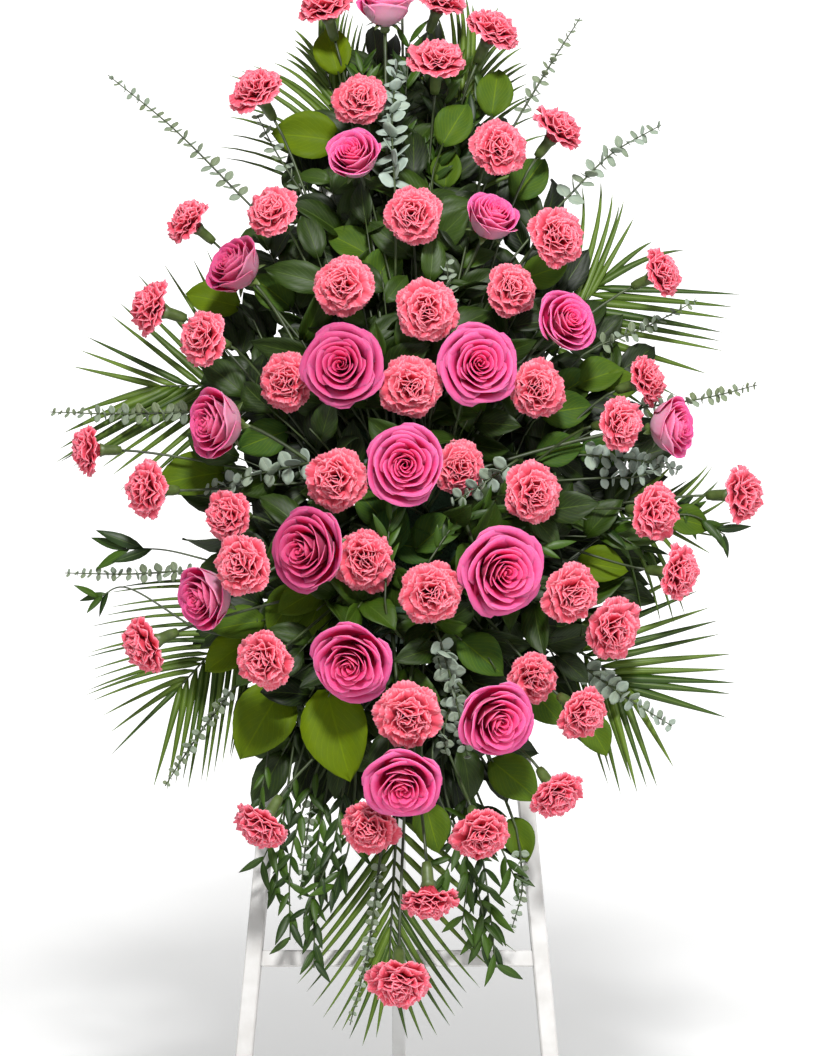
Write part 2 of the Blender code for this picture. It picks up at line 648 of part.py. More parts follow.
def root_peg(root, home):
    mouth, outward = root_place(root)
    length = ROOT_DEPTH + ROOT_SHOWS - 0.002
    middle = mouth + (ROOT_SHOWS - length / 2) * outward
    return cylinder("peg", middle, outward, ROOT_RADIUS, length, ROOT_SIDES, home)


def turned(name, profile, sides, home, ruffle):
    """A profile turned about Z, its points then moved by a formula of ring and place."""
    bm = bmesh.new()
    line = [bm.verts.new((radius, 0, height)) for radius, height in profile]
    edges = [bm.edges.new(pair) for pair in zip(line, line[1:])]
    bmesh.ops.spin(bm, geom=line + edges, cent=(0, 0, 0), axis=(0, 0, 1), dvec=(0, 0, 0),
                   angle=2 * math.pi, steps=sides, use_merge=True)
    bmesh.ops.remove_doubles(bm, verts=bm.verts, dist=1e-6)
    for vertex in bm.verts:
        radius = math.hypot(vertex.co.x, vertex.co.y)
        if radius < 1e-6:
            continue
        ring = min(range(len(profile)),
                   key=lambda i: abs(profile[i][0] - radius) + abs(profile[i][1] - vertex.co.z))
        place = round(math.atan2(vertex.co.y, vertex.co.x) / (2 * math.pi) * sides) % sides
        wider, higher = ruffle(ring, place)
        vertex.co = Vector((vertex.co.x * wider, vertex.co.y * wider, vertex.co.z + higher))
    bmesh.ops.triangulate(bm, faces=bm.faces)
    return mesh_object(name, bm, home)


def carnation_head(name, rng, home):
    """Three frilled tiers of petals, one above the other, open below where the calyx joins."""
    draws = [[rng.uniform(-1, 1) for _ in range(CARNATION_SIDES)] for _ in CARNATION_PROFILE]

    def ruffle(ring, place):
        tooth = 1 if (place + ring) % 2 else -1
        amount, draw = CARNATION_FRILL[ring], draws[ring][place]
        return 1 + amount * (0.6 * tooth + 0.7 * draw), 0.5 * amount * (draw - tooth)

    return turned(name, CARNATION_PROFILE, CARNATION_SIDES, home, ruffle)


def rose_head(name, rng, home):
    """Five petals in each whorl, every lip with a groove inside it and turned from the one below."""
    phase = rng.randrange(2)

    def ruffle(ring, place):
        if ring not in ROSE_LIPS:
            return 1, 0
        point = (place + phase + ring // 2) % 2 == 0
        return (1.07, -0.05) if point else (0.95, 0.03)

    return turned(name, ROSE_PROFILE, ROSE_SIDES, home, ruffle)


def place_bloom(obj, values, radius, rng):
    pixel_x, pixel_y, right, up, deeper, size = values[:6]
    direction = facing(right, up)
    place = frame_along(direction, Vector((0, 0, 1)))
    place = place @ Matrix.Rotation(rng.uniform(0, 2 * math.pi), 4, "Z") @ Matrix.Scale(radius * size, 4)
    place.translation = spot(pixel_x, pixel_y, dome(pixel_x, pixel_y) + deeper)
    obj.data.transform(place)
    return place.translation.copy(), direction


def sew_on_stem(head, stem, end):
    """Joins a flower's open underside to the end of its stem, as one closed body."""
    bm = bmesh.new()
    bm.from_mesh(stem.data)
    ring = set(sorted(bm.verts, key=lambda v: (v.co - end).length)[:4])
    caps = [face for face in bm.faces if set(face.verts) <= ring]
    bmesh.ops.delete(bm, geom=caps, context="FACES_ONLY")
    for edge in [e for e in bm.edges if e.is_wire]:
        bm.edges.remove(edge)
    bm.from_mesh(head.data)
    bmesh.ops.bridge_loops(bm, edges=[edge for edge in bm.edges if edge.is_boundary])
    bmesh.ops.triangulate(bm, faces=bm.faces)
    bmesh.ops.recalc_face_normals(bm, faces=bm.faces)
    bm.to_mesh(head.data)
    bm.free()
    bpy.data.objects.remove(stem, do_unlink=True)


def join_rows(bm, lower, upper):
    """Triangles between two rows of points, which may differ in number."""
    i = j = 0
    while i < len(lower) - 1 or j < len(upper) - 1:
        low_next = (i + 1) / (len(lower) - 1) if i < len(lower) - 1 else 2
        high_next = (j + 1) / (len(upper) - 1) if j < len(upper) - 1 else 2
        if low_next <= high_next:
            bm.faces.new((lower[i], lower[i + 1], upper[j]))
            i += 1
        else:
            bm.faces.new((lower[i], upper[j + 1], upper[j]))
            j += 1


def thin_solid(name, bm, home):
    bmesh.ops.recalc_face_normals(bm, faces=bm.faces)
    bmesh.ops.triangulate(bm, faces=bm.faces)
    bmesh.ops.solidify(bm, geom=bm.faces, thickness=BLADE_THICKNESS)
    return mesh_object(name, bm, home)


def across_of(ahead, lateral):
    """Across a thin blade that runs `ahead`, near the easel's plane."""
    flat = ahead - ahead.dot(SLOPE_OUT) * SLOPE_OUT + 0.3 * lateral
    return flat.cross(SLOPE_OUT).normalized()


class Crowd:
    """The nodes placed so far, to keep each new piece clear of the others."""

    def __init__(self):
        self.trees = {}

    def add(self, node, obj, key=None):
        bm = bmesh.new()
        bm.from_mesh(obj.data)
        self.trees[key or node] = (node, BVHTree.FromBMesh(bm))
        bm.free()

    def hits(self, node, obj):
        """The other nodes that this piece crosses."""
        bm = bmesh.new()
        bm.from_mesh(obj.data)
        tree = BVHTree.FromBMesh(bm)
        bm.free()
        return [key for key, (owner, other) in self.trees.items() if owner != node and tree.overlap(other)]


def try_places(make, crowd, node):
    """The first of the tries that crosses no other node, or else None, and then says so."""
    for attempt in range(TRIES):
        piece = make(attempt)
        if not crowd.hits(node, piece):
            crowd.add(node, piece, key="%s %s %d" % (node, piece.name, len(crowd.trees)))
            return piece
        bpy.data.objects.remove(piece, do_unlink=True)
    print("no room for a piece of", node)
    return None


def stem_to(root, end, direction, neck, crowd, node, rng, home):
    """A stem from a root peg to a flower's base, bowed aside where it would cross another piece."""
    mouth, outward = root_place(root)
    start = mouth + 0.004 * outward
    span = (end - start).length

    def make(attempt):
        bow = Vector([rng.uniform(-1, 1) for _ in range(3)]) * (0.03 * span * attempt ** 0.7)
        tip = end - neck * direction
        leave = outward * span * 0.32 + bow
        arrive = direction * span * (0.22 + 0.02 * (attempt % 5)) + bow * 0.4
        points = bend(start, leave, tip, arrive, 1 if span < 0.10 else 2 if span < 0.25 else 3)
        radii = [STEM_RADIUS] * (len(points) - 1) + [STEM_RADIUS * 1.2, NECK_RADIUS]
        return tube("stem", points + [end], radii, home)

    return try_places(make, crowd, node)


def feathered_blade(name, rib, halves, leaf, lateral, home):
    """One thin blade: a narrow rib, and on each side of each stretch of it the leaf that `leaf` gives."""
    last = len(rib) - 1
    bm = bmesh.new()
    rows = []
    for number, (point, half) in enumerate(zip(rib, halves)):
        ahead = (rib[min(number + 1, last)] - rib[max(number - 1, 0)]).normalized()
        side = across_of(ahead, lateral)
        rows.append((ahead, side, [bm.verts.new(point + flip * half * side) for flip in (-1, 1)]))
    for number, (lower, upper) in enumerate(zip(rows, rows[1:])):
        join_rows(bm, lower[2], upper[2])
        for index, flip in ((0, -1), (1, 1)):
            near, far = lower[2][index], upper[2][index]
            outline = [bm.verts.new(near.co + offset) for offset in leaf(number, flip, lower[0], lower[1])]
            fan = outline + [far]
            for second, third in zip(fan, fan[1:]):
                bm.faces.new((near, second, third))
    return thin_solid(name, bm, home)


def palm_frond(name, values, home, paint):
    """A rib with leaflets cut to it, all in one thin arched blade, on a stalk from the foam."""
    root, depth, pixels, count, longest, first_turn, last_turn = values
    shown = smooth_path([spot(x, y, depth) for x, y in pixels], count)
    lead_in = shown[0] - 0.012 * (shown[1] - shown[0]).normalized()
    halves = [0.0012] + [0.0028 - 0.0018 * number / count for number in range(count + 1)]

    def leaflet(number, flip, ahead, side):
        if number == 0:
            return []
        share = (number - 0.5) / count
        turn = math.radians(first_turn + (last_turn - first_turn) * share ** 0.8)
        length = longest * (0.62 + 0.38 * math.sin(math.pi * min(1, 0.25 + share * 0.75)))
        out = (math.cos(turn) * ahead + flip * math.sin(turn) * side).normalized()
        return [length * out - 0.10 * length * SLOPE_OUT]

    heading = (shown[1] - shown[0]).normalized()
    leaf = feathered_blade("leaf", [lead_in] + shown, halves, leaflet, heading, home)
    mouth, outward = root_place(root)
    start = mouth + 0.004 * outward
    span = (shown[0] - start).length
    stalk_points = bend(start, outward * span * 0.4, shown[0] - 0.002 * heading, heading * span * 0.3, 3)
    stalk = tube("stalk", stalk_points, [0.0032, 0.0029, 0.0027, 0.0024], home)
    return fuse(name, [root_peg(root, home), stalk, leaf], home, paint)


def leafy_stem(node, root, corners, count, leaf, base_length, crowd, rng, home):
    """A stem from the foam with leaves along the part that the photo shows, in one thin blade."""
    mouth, outward = root_place(root)
    start = mouth + 0.003 * outward
    span = (corners[0] - start).length
    lateral = (corners[0] - start).normalized()
    fine = smooth_path(corners, 60)
    heading = (fine[1] - fine[0]).normalized()
    hidden_count = 3  # stretches of bare stem before the leaves

    def shown_leaf(number, flip, ahead, side):
        return leaf(number - hidden_count, flip, ahead, side) if number >= hidden_count else []

    def make(attempt):
        bow = Vector([rng.uniform(-1, 1) for _ in range(3)]) * (0.02 * span * attempt ** 0.7)
        shift = Vector([rng.uniform(-1, 1) for _ in range(3)]) * 0.0006 * attempt
        arrive = heading * span * 0.3 + bow * 0.3
        rib = bend(start, outward * span * 0.3 + bow, fine[0] + shift, arrive, hidden_count)
        for number in range(count):
            at = 1 + round(57 * (number + 0.3) / count)
            ahead = (fine[at + 1] - fine[at]).normalized()
            rib += [fine[at] + shift - 0.5 * base_length * ahead, fine[at] + shift + 0.5 * base_length * ahead]
        halves = [STEM_RADIUS - 0.0010 * number / len(rib) for number in range(len(rib))]
        return feathered_blade("leaves", rib, halves, shown_leaf, lateral, home)

    return try_places(make, crowd, node)


def eucalyptus_pair(length, rng):
    """A small round leaf at each side of every other stretch, the pairs tipped by turns."""
    def leaf(number, flip, ahead, side):
        if number % 2 == 0:
            return []
        share = 1 - 0.012 * number
        tip = 0.55 if number % 4 == 1 else -0.25
        out = (flip * side + (tip + rng.uniform(-0.2, 0.2)) * SLOPE_OUT + 0.35 * ahead).normalized()
        long, wide = length * share, length * share * 0.42
        if length < SMALL_LEAF:
            return [long * out]
        return [0.62 * long * out - wide * ahead, long * out + 0.4 * wide * ahead]
    return leaf


def ruscus_leaf(rng):
    """One narrow pointed leaf at a side of every other stretch, the sides taking turns."""
    def leaf(number, flip, ahead, side):
        if number % 2 == 0 or (flip > 0) != (number % 4 == 1):
            return []
        turn = math.radians(40 + rng.uniform(-12, 12))
        size = RUSCUS_LEAF * rng.uniform(0.85, 1.1)
        out = math.cos(turn) * ahead + flip * math.sin(turn) * side + rng.uniform(-0.1, 0.3) * SLOPE_OUT
        bulge = math.sin(turn) * ahead - flip * math.cos(turn) * side
        return [size * out, 0.42 * size * out + 0.20 * size * bulge]
    return leaf


def broad_leaf_bunch(node, values, crowd, rng, home, paint):
    """Broad leaves, each folded a little along its rib, on stalks from one peg."""
    root, leaves = values
    pieces = [root_peg(root, home)]
    mouth, outward = root_place(root)
    start = mouth + 0.003 * outward
    for pixel_x, pixel_y, turn_deg, depth, length in leaves:
        middle = spot(pixel_x, pixel_y, depth)

        def make(attempt):
            turn = math.radians(turn_deg + rng.uniform(-3, 3) * attempt ** 0.5)
            along = Vector((math.cos(turn), 0, 0)) + math.sin(turn) * SLOPE_UP
            tilt = rng.uniform(-0.15, 0.25)
            centre = middle + rng.uniform(-0.002, 0.002) * attempt ** 0.7 * SLOPE_OUT
            base = centre - 0.5 * length * along
            span = (base - start).length
            bow = Vector([rng.uniform(-1, 1) for _ in range(3)]) * (0.02 * span * attempt ** 0.7)
            path = bend(start, outward * span * 0.3 + bow, base, along * span * 0.2, 2)
            lateral = (base - start).normalized()
            bm = bmesh.new()
            rows = []
            for number, point in enumerate(path[:-1]):
                side = across_of((path[number + 1] - point).normalized(), lateral)
                rows.append([bm.verts.new(point + flip * 0.0012 * side) for flip in (-1, 1)])
            side = across_of(along, along)
            for share, half in BROAD_OUTLINE:
                point = base + share * length * along + (tilt - 0.15 * share) * share * length * SLOPE_OUT
                flips = (-1, 0, 1) if half > 0.1 else (-1, 1) if half else (0,)
                fold = BROAD_FOLD * SLOPE_OUT
                rows.append([bm.verts.new(point + half * length * (flip * side + abs(flip) * fold))
                             for flip in flips])
            for lower, upper in zip(rows, rows[1:]):
                join_rows(bm, lower, upper)
            return thin_solid("leaf", bm, home)

        leaf = try_places(make, crowd, node)
        if leaf:
            pieces.append(leaf)
    return fuse(node, pieces, home, paint)


def flower_heads(home, crowd, rng, rose_paint):
    """All the heads first, so that every stem can then find its way between them."""
    carnations, roses = {}, {}
    for group, (root, blooms) in CARNATIONS.items():
        node = "carnations_" + group
        for number, values in enumerate(blooms):
            head = carnation_head("head", rng, home)
            middle, direction = place_bloom(head, values, CARNATION_RADIUS, rng)
            crowd.add(node, head, key="%s head %d" % (node, number))
            base = middle - CARNATION_BASE * CARNATION_RADIUS * values[5] * direction
            carnations.setdefault(node, (root, []))[1].append((head, base, direction))
    for name, values in ROSES.items():
        head = rose_head(name, rng, home)
        head.data.materials.append(rose_paint)
        middle, direction = place_bloom(head, values, ROSE_RADIUS, rng)
        crowd.add(name, head)
        below = -ROSE_PROFILE[0][1] * ROSE_RADIUS * values[5]
        base = middle - (below + FIT_GAP) * direction
        roses.setdefault(values[6], []).append((base, direction))
    return carnations, roses


def flower_stems(carnations, roses, home, crowd, rng, stem_paint, petal_paint):
    for bunch, flowers in roses.items():
        node = "rose_stems_" + bunch
        root = ROSE_ROOTS[bunch]
        pieces = [root_peg(root, home)]
        for base, direction in flowers:
            stem = stem_to(root, base, direction, ROSE_NECK, crowd, node, rng, home)
            if stem:
                pieces.append(stem)
        fuse(node, pieces, home, stem_paint)
    for node, (root, flowers) in carnations.items():
        pieces = [root_peg(root, home)]
        for head, base, direction in flowers:
            stem = stem_to(root, base, direction, CARNATION_NECK, crowd, node, rng, home)
            if stem:
                sew_on_stem(head, stem, base)
            pieces.append(head)
        fuse(node, pieces, home, petal_paint)


def leafy_bunch(node, root, stems, home, paint):
    fuse(node, [root_peg(root, home)] + [stem for stem in stems if stem], home, paint)


def foliage(home, crowd, rng, silver, leaf_paint, dark):
    for node, (root, sprigs) in EUCALYPTUS.items():
        stems = []
        for pixels, first, last, pairs, length in sprigs:
            depths = (first, (first + last) / 2, last)
            corners = [spot(x, y, depth) for (x, y), depth in zip(pixels, depths)]
            base = SMALL_LEAF_BASE if length < SMALL_LEAF else LEAF_BASE
            stems.append(leafy_stem(node, root, corners, pairs, eucalyptus_pair(length, rng), base,
                                    crowd, rng, home))
        leafy_bunch(node, root, stems, home, silver)
    for node, values in BROAD_LEAVES.items():
        broad_leaf_bunch(node, values, crowd, rng, home, leaf_paint)
    for node, (root, stems_in_photo) in RUSCUS.items():
        stems = []
        for pixels, depth, leaves in stems_in_photo:
            corners = [spot(x, y, depth) for x, y in pixels]
            stems.append(leafy_stem(node, root, corners, leaves, ruscus_leaf(rng), LEAF_BASE,
                                    crowd, rng, home))
        leafy_bunch(node, root, stems, home, dark)


def main():
    clear_scene()
    rng = random.Random(RANDOM_SEED)
    home = collection("standing_spray")
    cutters = collection("cutters", hidden=True)
    white = material("white paint", WHITE_PAINT, 0.45)
    steel = material("steel", STEEL, 0.35, 0.9)
    foam_paint = material("wet foam", FOAM_GREEN, 0.95)
    cage_paint = material("green plastic", DARK_GREEN, 0.5)
    salmon = material("carnation petals", SALMON, 0.6)
    rose_paint = material("rose petals", ROSE_PINK, 0.5)
    stem_paint = material("stems", STEM_GREEN, 0.6)
    palm_paint = material("palm leaflets", PALM_GREEN, 0.5)
    leaf_paint = material("broad leaves", LEAF_GREEN, 0.4)
    silver = material("eucalyptus leaves", SILVER_GREEN, 0.65)
    dark = material("ruscus leaves", DARK_GREEN, 0.45)

    front_frame(home, white)
    hinge(home, cutters, white, steel)
    roots = [entry[0] for table in (CARNATIONS, PALMS, EUCALYPTUS, BROAD_LEAVES, RUSCUS)
             for entry in table.values()] + list(ROSE_ROOTS.values())
    foam_and_cage(home, cutters, foam_paint, cage_paint, roots)
    bpy.context.view_layer.update()

    crowd = Crowd()
    for name in ("left_leg", "right_leg", "crossbar", "hanging_rail", "head_board", "foam_cage"):
        crowd.add(name, bpy.data.objects[name])
    for name, values in PALMS.items():
        crowd.add(name, palm_frond(name, values, home, palm_paint))
    carnations, roses = flower_heads(home, crowd, rng, rose_paint)
    flower_stems(carnations, roses, home, crowd, rng, stem_paint, salmon)
    foliage(home, crowd, rng, silver, leaf_paint, dark)

    for obj in cutters.all_objects:
        obj.hide_render = True
        obj.display_type = "WIRE"


main()
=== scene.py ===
import math
import random

import bpy
import numpy as np
from mathutils import Matrix, Vector


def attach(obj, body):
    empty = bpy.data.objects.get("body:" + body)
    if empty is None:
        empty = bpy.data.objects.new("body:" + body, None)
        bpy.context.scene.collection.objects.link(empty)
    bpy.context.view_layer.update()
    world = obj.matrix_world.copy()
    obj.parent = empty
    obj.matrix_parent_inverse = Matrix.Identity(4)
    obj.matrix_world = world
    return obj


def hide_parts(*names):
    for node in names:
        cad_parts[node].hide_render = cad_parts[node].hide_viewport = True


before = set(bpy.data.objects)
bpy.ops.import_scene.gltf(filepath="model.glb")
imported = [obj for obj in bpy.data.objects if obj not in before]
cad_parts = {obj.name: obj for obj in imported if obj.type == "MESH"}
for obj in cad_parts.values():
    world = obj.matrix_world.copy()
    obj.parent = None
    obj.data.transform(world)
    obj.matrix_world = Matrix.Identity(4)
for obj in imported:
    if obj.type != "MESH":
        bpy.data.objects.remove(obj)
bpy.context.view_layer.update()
print("frame loaded:", len(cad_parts), "nodes")

# How the photo is seen: its pixels, the size of one at the flowers, and where the easel leans
photo = {"width": 816, "height": 1056, "metresPerPixel": 0.0011, "eyeDistance": 2.4, "eyeHeight": 0.792}
easel = {"footY": -0.264, "lean": math.radians(12), "sprayOut": 0.08}

slopeUp = Vector((0, math.sin(easel["lean"]), math.cos(easel["lean"])))
slopeOut = Vector((0, -math.cos(easel["lean"]), math.sin(easel["lean"])))
footLine = Vector((0, easel["footY"], 0))
eye = Vector((0, easel["footY"] + easel["sprayOut"] - photo["eyeDistance"], photo["eyeHeight"]))
toRight = Vector((1, 0, 0))


def onSlope(across, up, out):
    return footLine + across * toRight + up * slopeUp + out * slopeOut


# The point that shows at this pixel, so far in front of the easel's face
def spot(pixelX, pixelY, out):
    reach = photo["metresPerPixel"] / photo["eyeDistance"]
    ray = Vector(((pixelX - photo["width"] / 2) * reach, 1, (photo["height"] / 2 - pixelY) * reach))
    return eye + (out - (eye - footLine).dot(slopeOut)) / ray.dot(slopeOut) * ray


# The flowers stand on a dome
domeShape = {"centre": (405, 520), "half": (370, 640), "edge": 0.07, "rise": 0.135}


def dome(pixelX, pixelY):
    across = (pixelX - domeShape["centre"][0]) / domeShape["half"][0]
    up = (pixelY - domeShape["centre"][1]) / domeShape["half"][1]
    return domeShape["edge"] + domeShape["rise"] * max(0, 1 - across * across - up * up)


def facing(rightDeg, upDeg):
    right, up = math.radians(rightDeg), math.radians(upDeg)
    return Vector((math.sin(right) * math.cos(up), -math.cos(right) * math.cos(up), math.sin(up)))


def turnAlong(direction):
    z = direction.normalized()
    x = Vector((0, 0, 1)).cross(z).normalized()
    return Matrix((x, z.cross(x), z)).transposed().to_4x4()


# The foam that every stem stands in: the same block and holes as in the frame
foam = {"size": Vector((0.11, 0.23, 0.075)), "up": 0.79, "front": 0.083}


def rootPlace(root):
    face, along, other = root
    half = foam["size"] / 2
    if face == "front":
        return onSlope(along, foam["up"] + other, foam["front"]), slopeOut.copy()
    depth = foam["front"] - foam["size"].z + other
    if face in ("left", "right"):
        side = -1 if face == "left" else 1
        return onSlope(side * half.x, foam["up"] + along, depth), side * toRight
    side = -1 if face == "bottom" else 1
    return onSlope(along, foam["up"] + side * half.y, depth), side * slopeUp


def bend(start, leave, end, arrive, count):
    points = []
    for step in range(count + 1):
        t = step / count
        s = 1 - t
        points.append(s ** 3 * start + 3 * s * s * t * (start + leave)
                      + 3 * s * t * t * (end - arrive) + t ** 3 * end)
    return points


def softPath(corners, count):
    padded = [2 * corners[0] - corners[1]] + corners + [2 * corners[-1] - corners[-2]]
    spans = len(corners) - 1
    points = []
    for step in range(count + 1):
        place = min(step * spans / count, spans - 1e-6)
        i = int(place)
        t = place - i
        a, b, c, d = padded[i:i + 4]
        points.append(0.5 * (2 * b + (c - a) * t + (2 * a - 5 * b + 4 * c - d) * t * t
                             + (3 * b - a - 3 * c + d) * t ** 3))
    return points


# Shader maths written as plain sums: each one adds a Math node
def sums(operation):
    def forward(self, other):
        return self.paint.node("ShaderNodeMath", {"operation": operation}, {0: self, 1: other})

    def reflected(self, other):
        return self.paint.node("ShaderNodeMath", {"operation": operation}, {0: other, 1: self})

    return forward, reflected


class Socket:
    def __init__(self, paint, socket):
        self.paint = paint
        self.socket = socket

    __add__, __radd__ = sums("ADD")
    __sub__, __rsub__ = sums("SUBTRACT")
    __mul__, __rmul__ = sums("MULTIPLY")
    __truediv__, __rtruediv__ = sums("DIVIDE")
    __pow__, __rpow__ = sums("POWER")


class Paint:
    def __init__(self, name, roughness, **fixed):
        self.material = bpy.data.materials.new(name)
        self.material.use_nodes = True
        self.tree = self.material.node_tree
        self.shader = self.tree.nodes["Principled BSDF"]
        self.plug(self.shader.inputs["Roughness"], roughness)
        for socket, value in fixed.items():
            self.plug(self.shader.inputs[socket.replace("_", " ")], value)

    def plug(self, socket, value):
        if isinstance(value, Socket):
            self.tree.links.new(value.socket, socket)
        else:
            socket.default_value = value

    def node(self, kind, settings={}, values={}, out=0):
        made = self.tree.nodes.new(kind)
        for name, value in settings.items():
            if name == "stops":
                ramp = made.color_ramp
                while len(ramp.elements) < len(value):
                    ramp.elements.new(0.5)
                for element, (place, colour) in zip(ramp.elements, value):
                    element.position = place
                    element.color = colour
            else:
                setattr(made, name, value)
        for name, value in values.items():
            self.plug(made.inputs[name], value)
        return Socket(self, made.outputs[out])

    def ramp(self, value, *stops):
        return self.node("ShaderNodeValToRGB", {"stops": stops}, {"Fac": value})

    def mix(self, share, first, second):
        return self.node("ShaderNodeMix", {"data_type": "RGBA"}, {0: share, 6: first, 7: second}, out=2)

    # across and along a petal or leaf
    def surfaceAxes(self):
        plan = self.node("ShaderNodeUVMap", {"uv_map": "UVMap"})
        split = self.node("ShaderNodeSeparateXYZ", {}, {0: plan})
        return split, Socket(self, split.socket.node.outputs[1]), plan

    def attribute(self, name):
        return self.node("ShaderNodeAttribute", {"attribute_name": name}, out=2)

    def objectPlace(self):
        return self.node("ShaderNodeTexCoord", out=3)

    def noise(self, place, scale, detail=2.0, stretch=None):
        if stretch:
            place = self.node("ShaderNodeMapping", {}, {"Vector": place, "Scale": stretch})
        return self.node("ShaderNodeTexNoise", {}, {"Vector": place, "Scale": scale, "Detail": detail})

    def bump(self, height, strength, distance):
        return self.node("ShaderNodeBump", {}, {"Height": height, "Strength": strength,
                                                "Distance": distance})

    def finish(self, colour, normal=None, roughness=None):
        self.plug(self.shader.inputs["Base Color"], colour)
        if normal:
            self.plug(self.shader.inputs["Normal"], normal)
        if roughness:
            self.plug(self.shader.inputs["Roughness"], roughness)
        return self.material


# A colour as it should look, 0 to 255. The lights make things brighter than their paint
lightShare = 1.55


def colour(red, green, blue):
    linear = [((c / 255 + 0.055) / 1.055) ** 2.4 if c > 10 else c / 3295 for c in (red, green, blue)]
    return (*[c / lightShare for c in linear], 1)


def carnationPaint():
    paint = Paint("carnation petals", 0.62, Subsurface_Weight=0.25, Subsurface_Radius=(1.0, 0.25, 0.3),
                  Subsurface_Scale=0.005, Specular_IOR_Level=0.25)
    _, along, plan = paint.surfaceAxes()
    streaks = paint.noise(plan, 1.0, 3.0, (26, 1.3, 1))
    base = paint.ramp(along + (streaks - 0.5) * 0.45, (0.0, colour(204, 38, 58)), (0.45, colour(224, 43, 65)),
                      (0.74, colour(233, 59, 85)), (0.9, colour(243, 84, 106)), (1.0, colour(253, 152, 168)))
    tone = paint.attribute("tone")
    tinted = paint.mix(tone * 0.25 + paint.attribute("ring") * 0.09, base, colour(252, 130, 150))
    return paint.finish(tinted, paint.bump(streaks, 0.35, 0.0006))


# Petals pale from their base to their lips and from the heart outwards. The heart's petals lean to a vivid
# pink, partly their own colour and partly painted glow of light through them. The backs of the outermost ones
# have a blush at their base, and painted shade darkens a whole flower where less light falls on it
def rosePaint(name, deep, middle, outer, edge, blush=0.0):
    paint = Paint(name, 0.55, Subsurface_Weight=0.45, Subsurface_Radius=(1.0, 0.12, 0.3),
                  Subsurface_Scale=0.008, Specular_IOR_Level=0.15)
    _, along, plan = paint.surfaceAxes()
    ring = paint.attribute("ring")
    tone = paint.attribute("tone")
    veins = paint.noise(plan, 1.0, 4.0, (26, 1.2, 1))
    inner = paint.ramp(along + (veins - 0.5) * 0.12, (0.0, deep), (0.5, middle), (0.82, outer), (1.0, edge))
    paler = paint.mix(ring ** 1.8 * 0.48, inner, paint.mix(along ** 1.4, middle, edge))
    whole = paint.mix(tone * 0.14, paler, edge)
    # painted glow: the heart's petals mixed towards a vivid pink, partly their own deeper colour and partly
    # light shining through them
    whole = paint.mix((1 - ring) ** 1.6 * 0.6, whole, colour(255, 8, 88))
    whole = paint.mix(ring ** 5.0 * (1 - along * 0.6) * blush, whole, colour(250, 200, 216))
    # painted shade: the whole flower darkened towards a deep magenta
    shaded = paint.mix(paint.attribute("shade"), whole, colour(96, 0, 40))
    return paint.finish(shaded, paint.bump(veins, 0.25, 0.0006))


# A leaf's rib and side veins, from its own map
def leafPaint(name, dark, light, rib, roughness, veinCount, ribWidth=0.035, gloss=0.24):
    paint = Paint(name, roughness, Specular_IOR_Level=gloss)
    across, along, _ = paint.surfaceAxes()
    tone = paint.attribute("tone")
    cloudy = paint.noise(paint.objectPlace(), 60.0, 3.0)
    base = paint.mix(tone * 0.85 + (cloudy - 0.5) * 0.5, dark, light)
    side = paint.node("ShaderNodeMath", {"operation": "ABSOLUTE"}, {0: across - 0.5})
    onRib = paint.node("ShaderNodeMapRange", {"interpolation_type": "SMOOTHSTEP"},
                       {0: side, 1: 0.0, 2: ribWidth, 3: 1.0, 4: 0.0})
    wave = paint.node("ShaderNodeMath", {"operation": "SINE"},
                      {0: (along - side * 1.1) * (2 * math.pi * veinCount)})
    onVein = paint.node("ShaderNodeMapRange", {}, {0: wave, 1: 0.86, 2: 1.0, 3: 0.0, 4: 0.5})
    lines = paint.node("ShaderNodeMath", {"operation": "MAXIMUM"}, {0: onRib, 1: onVein})
    lined = paint.mix(lines * 0.55, base, rib)
    relief = cloudy * 0.3 + (1 - lines) * 0.6
    return paint.finish(lined, paint.bump(relief, 0.5, 0.0006))


# Two colours in speckles, with a relief of their own or a finer one, and a gloss that can vary
def speckledPaint(name, roughness, scale, detail, dark, light, relief, vary=0.0, finer=0.0, to=0.7, **fixed):
    paint = Paint(name, roughness, **fixed)
    place = paint.objectPlace()
    speckles = paint.noise(place, scale, detail)
    bumps = paint.noise(place, finer) if finer else speckles
    return paint.finish(paint.ramp(speckles, (0.3, dark), (to, light)), paint.bump(bumps, *relief),
                        roughness + speckles * vary if vary else None)


def whitePaint(name, dark, light):
    paint = Paint(name, 0.42)
    place = paint.objectPlace()
    grain = paint.noise(place, 9.0, 6.0, (14, 14, 0.8))
    scuffs = paint.noise(place, 30.0, 4.0)
    base = paint.ramp(scuffs, (0.25, dark), (0.6, light))
    return paint.finish(base, paint.bump(grain, 0.35, 0.0008), 0.36 + scuffs * 0.2)


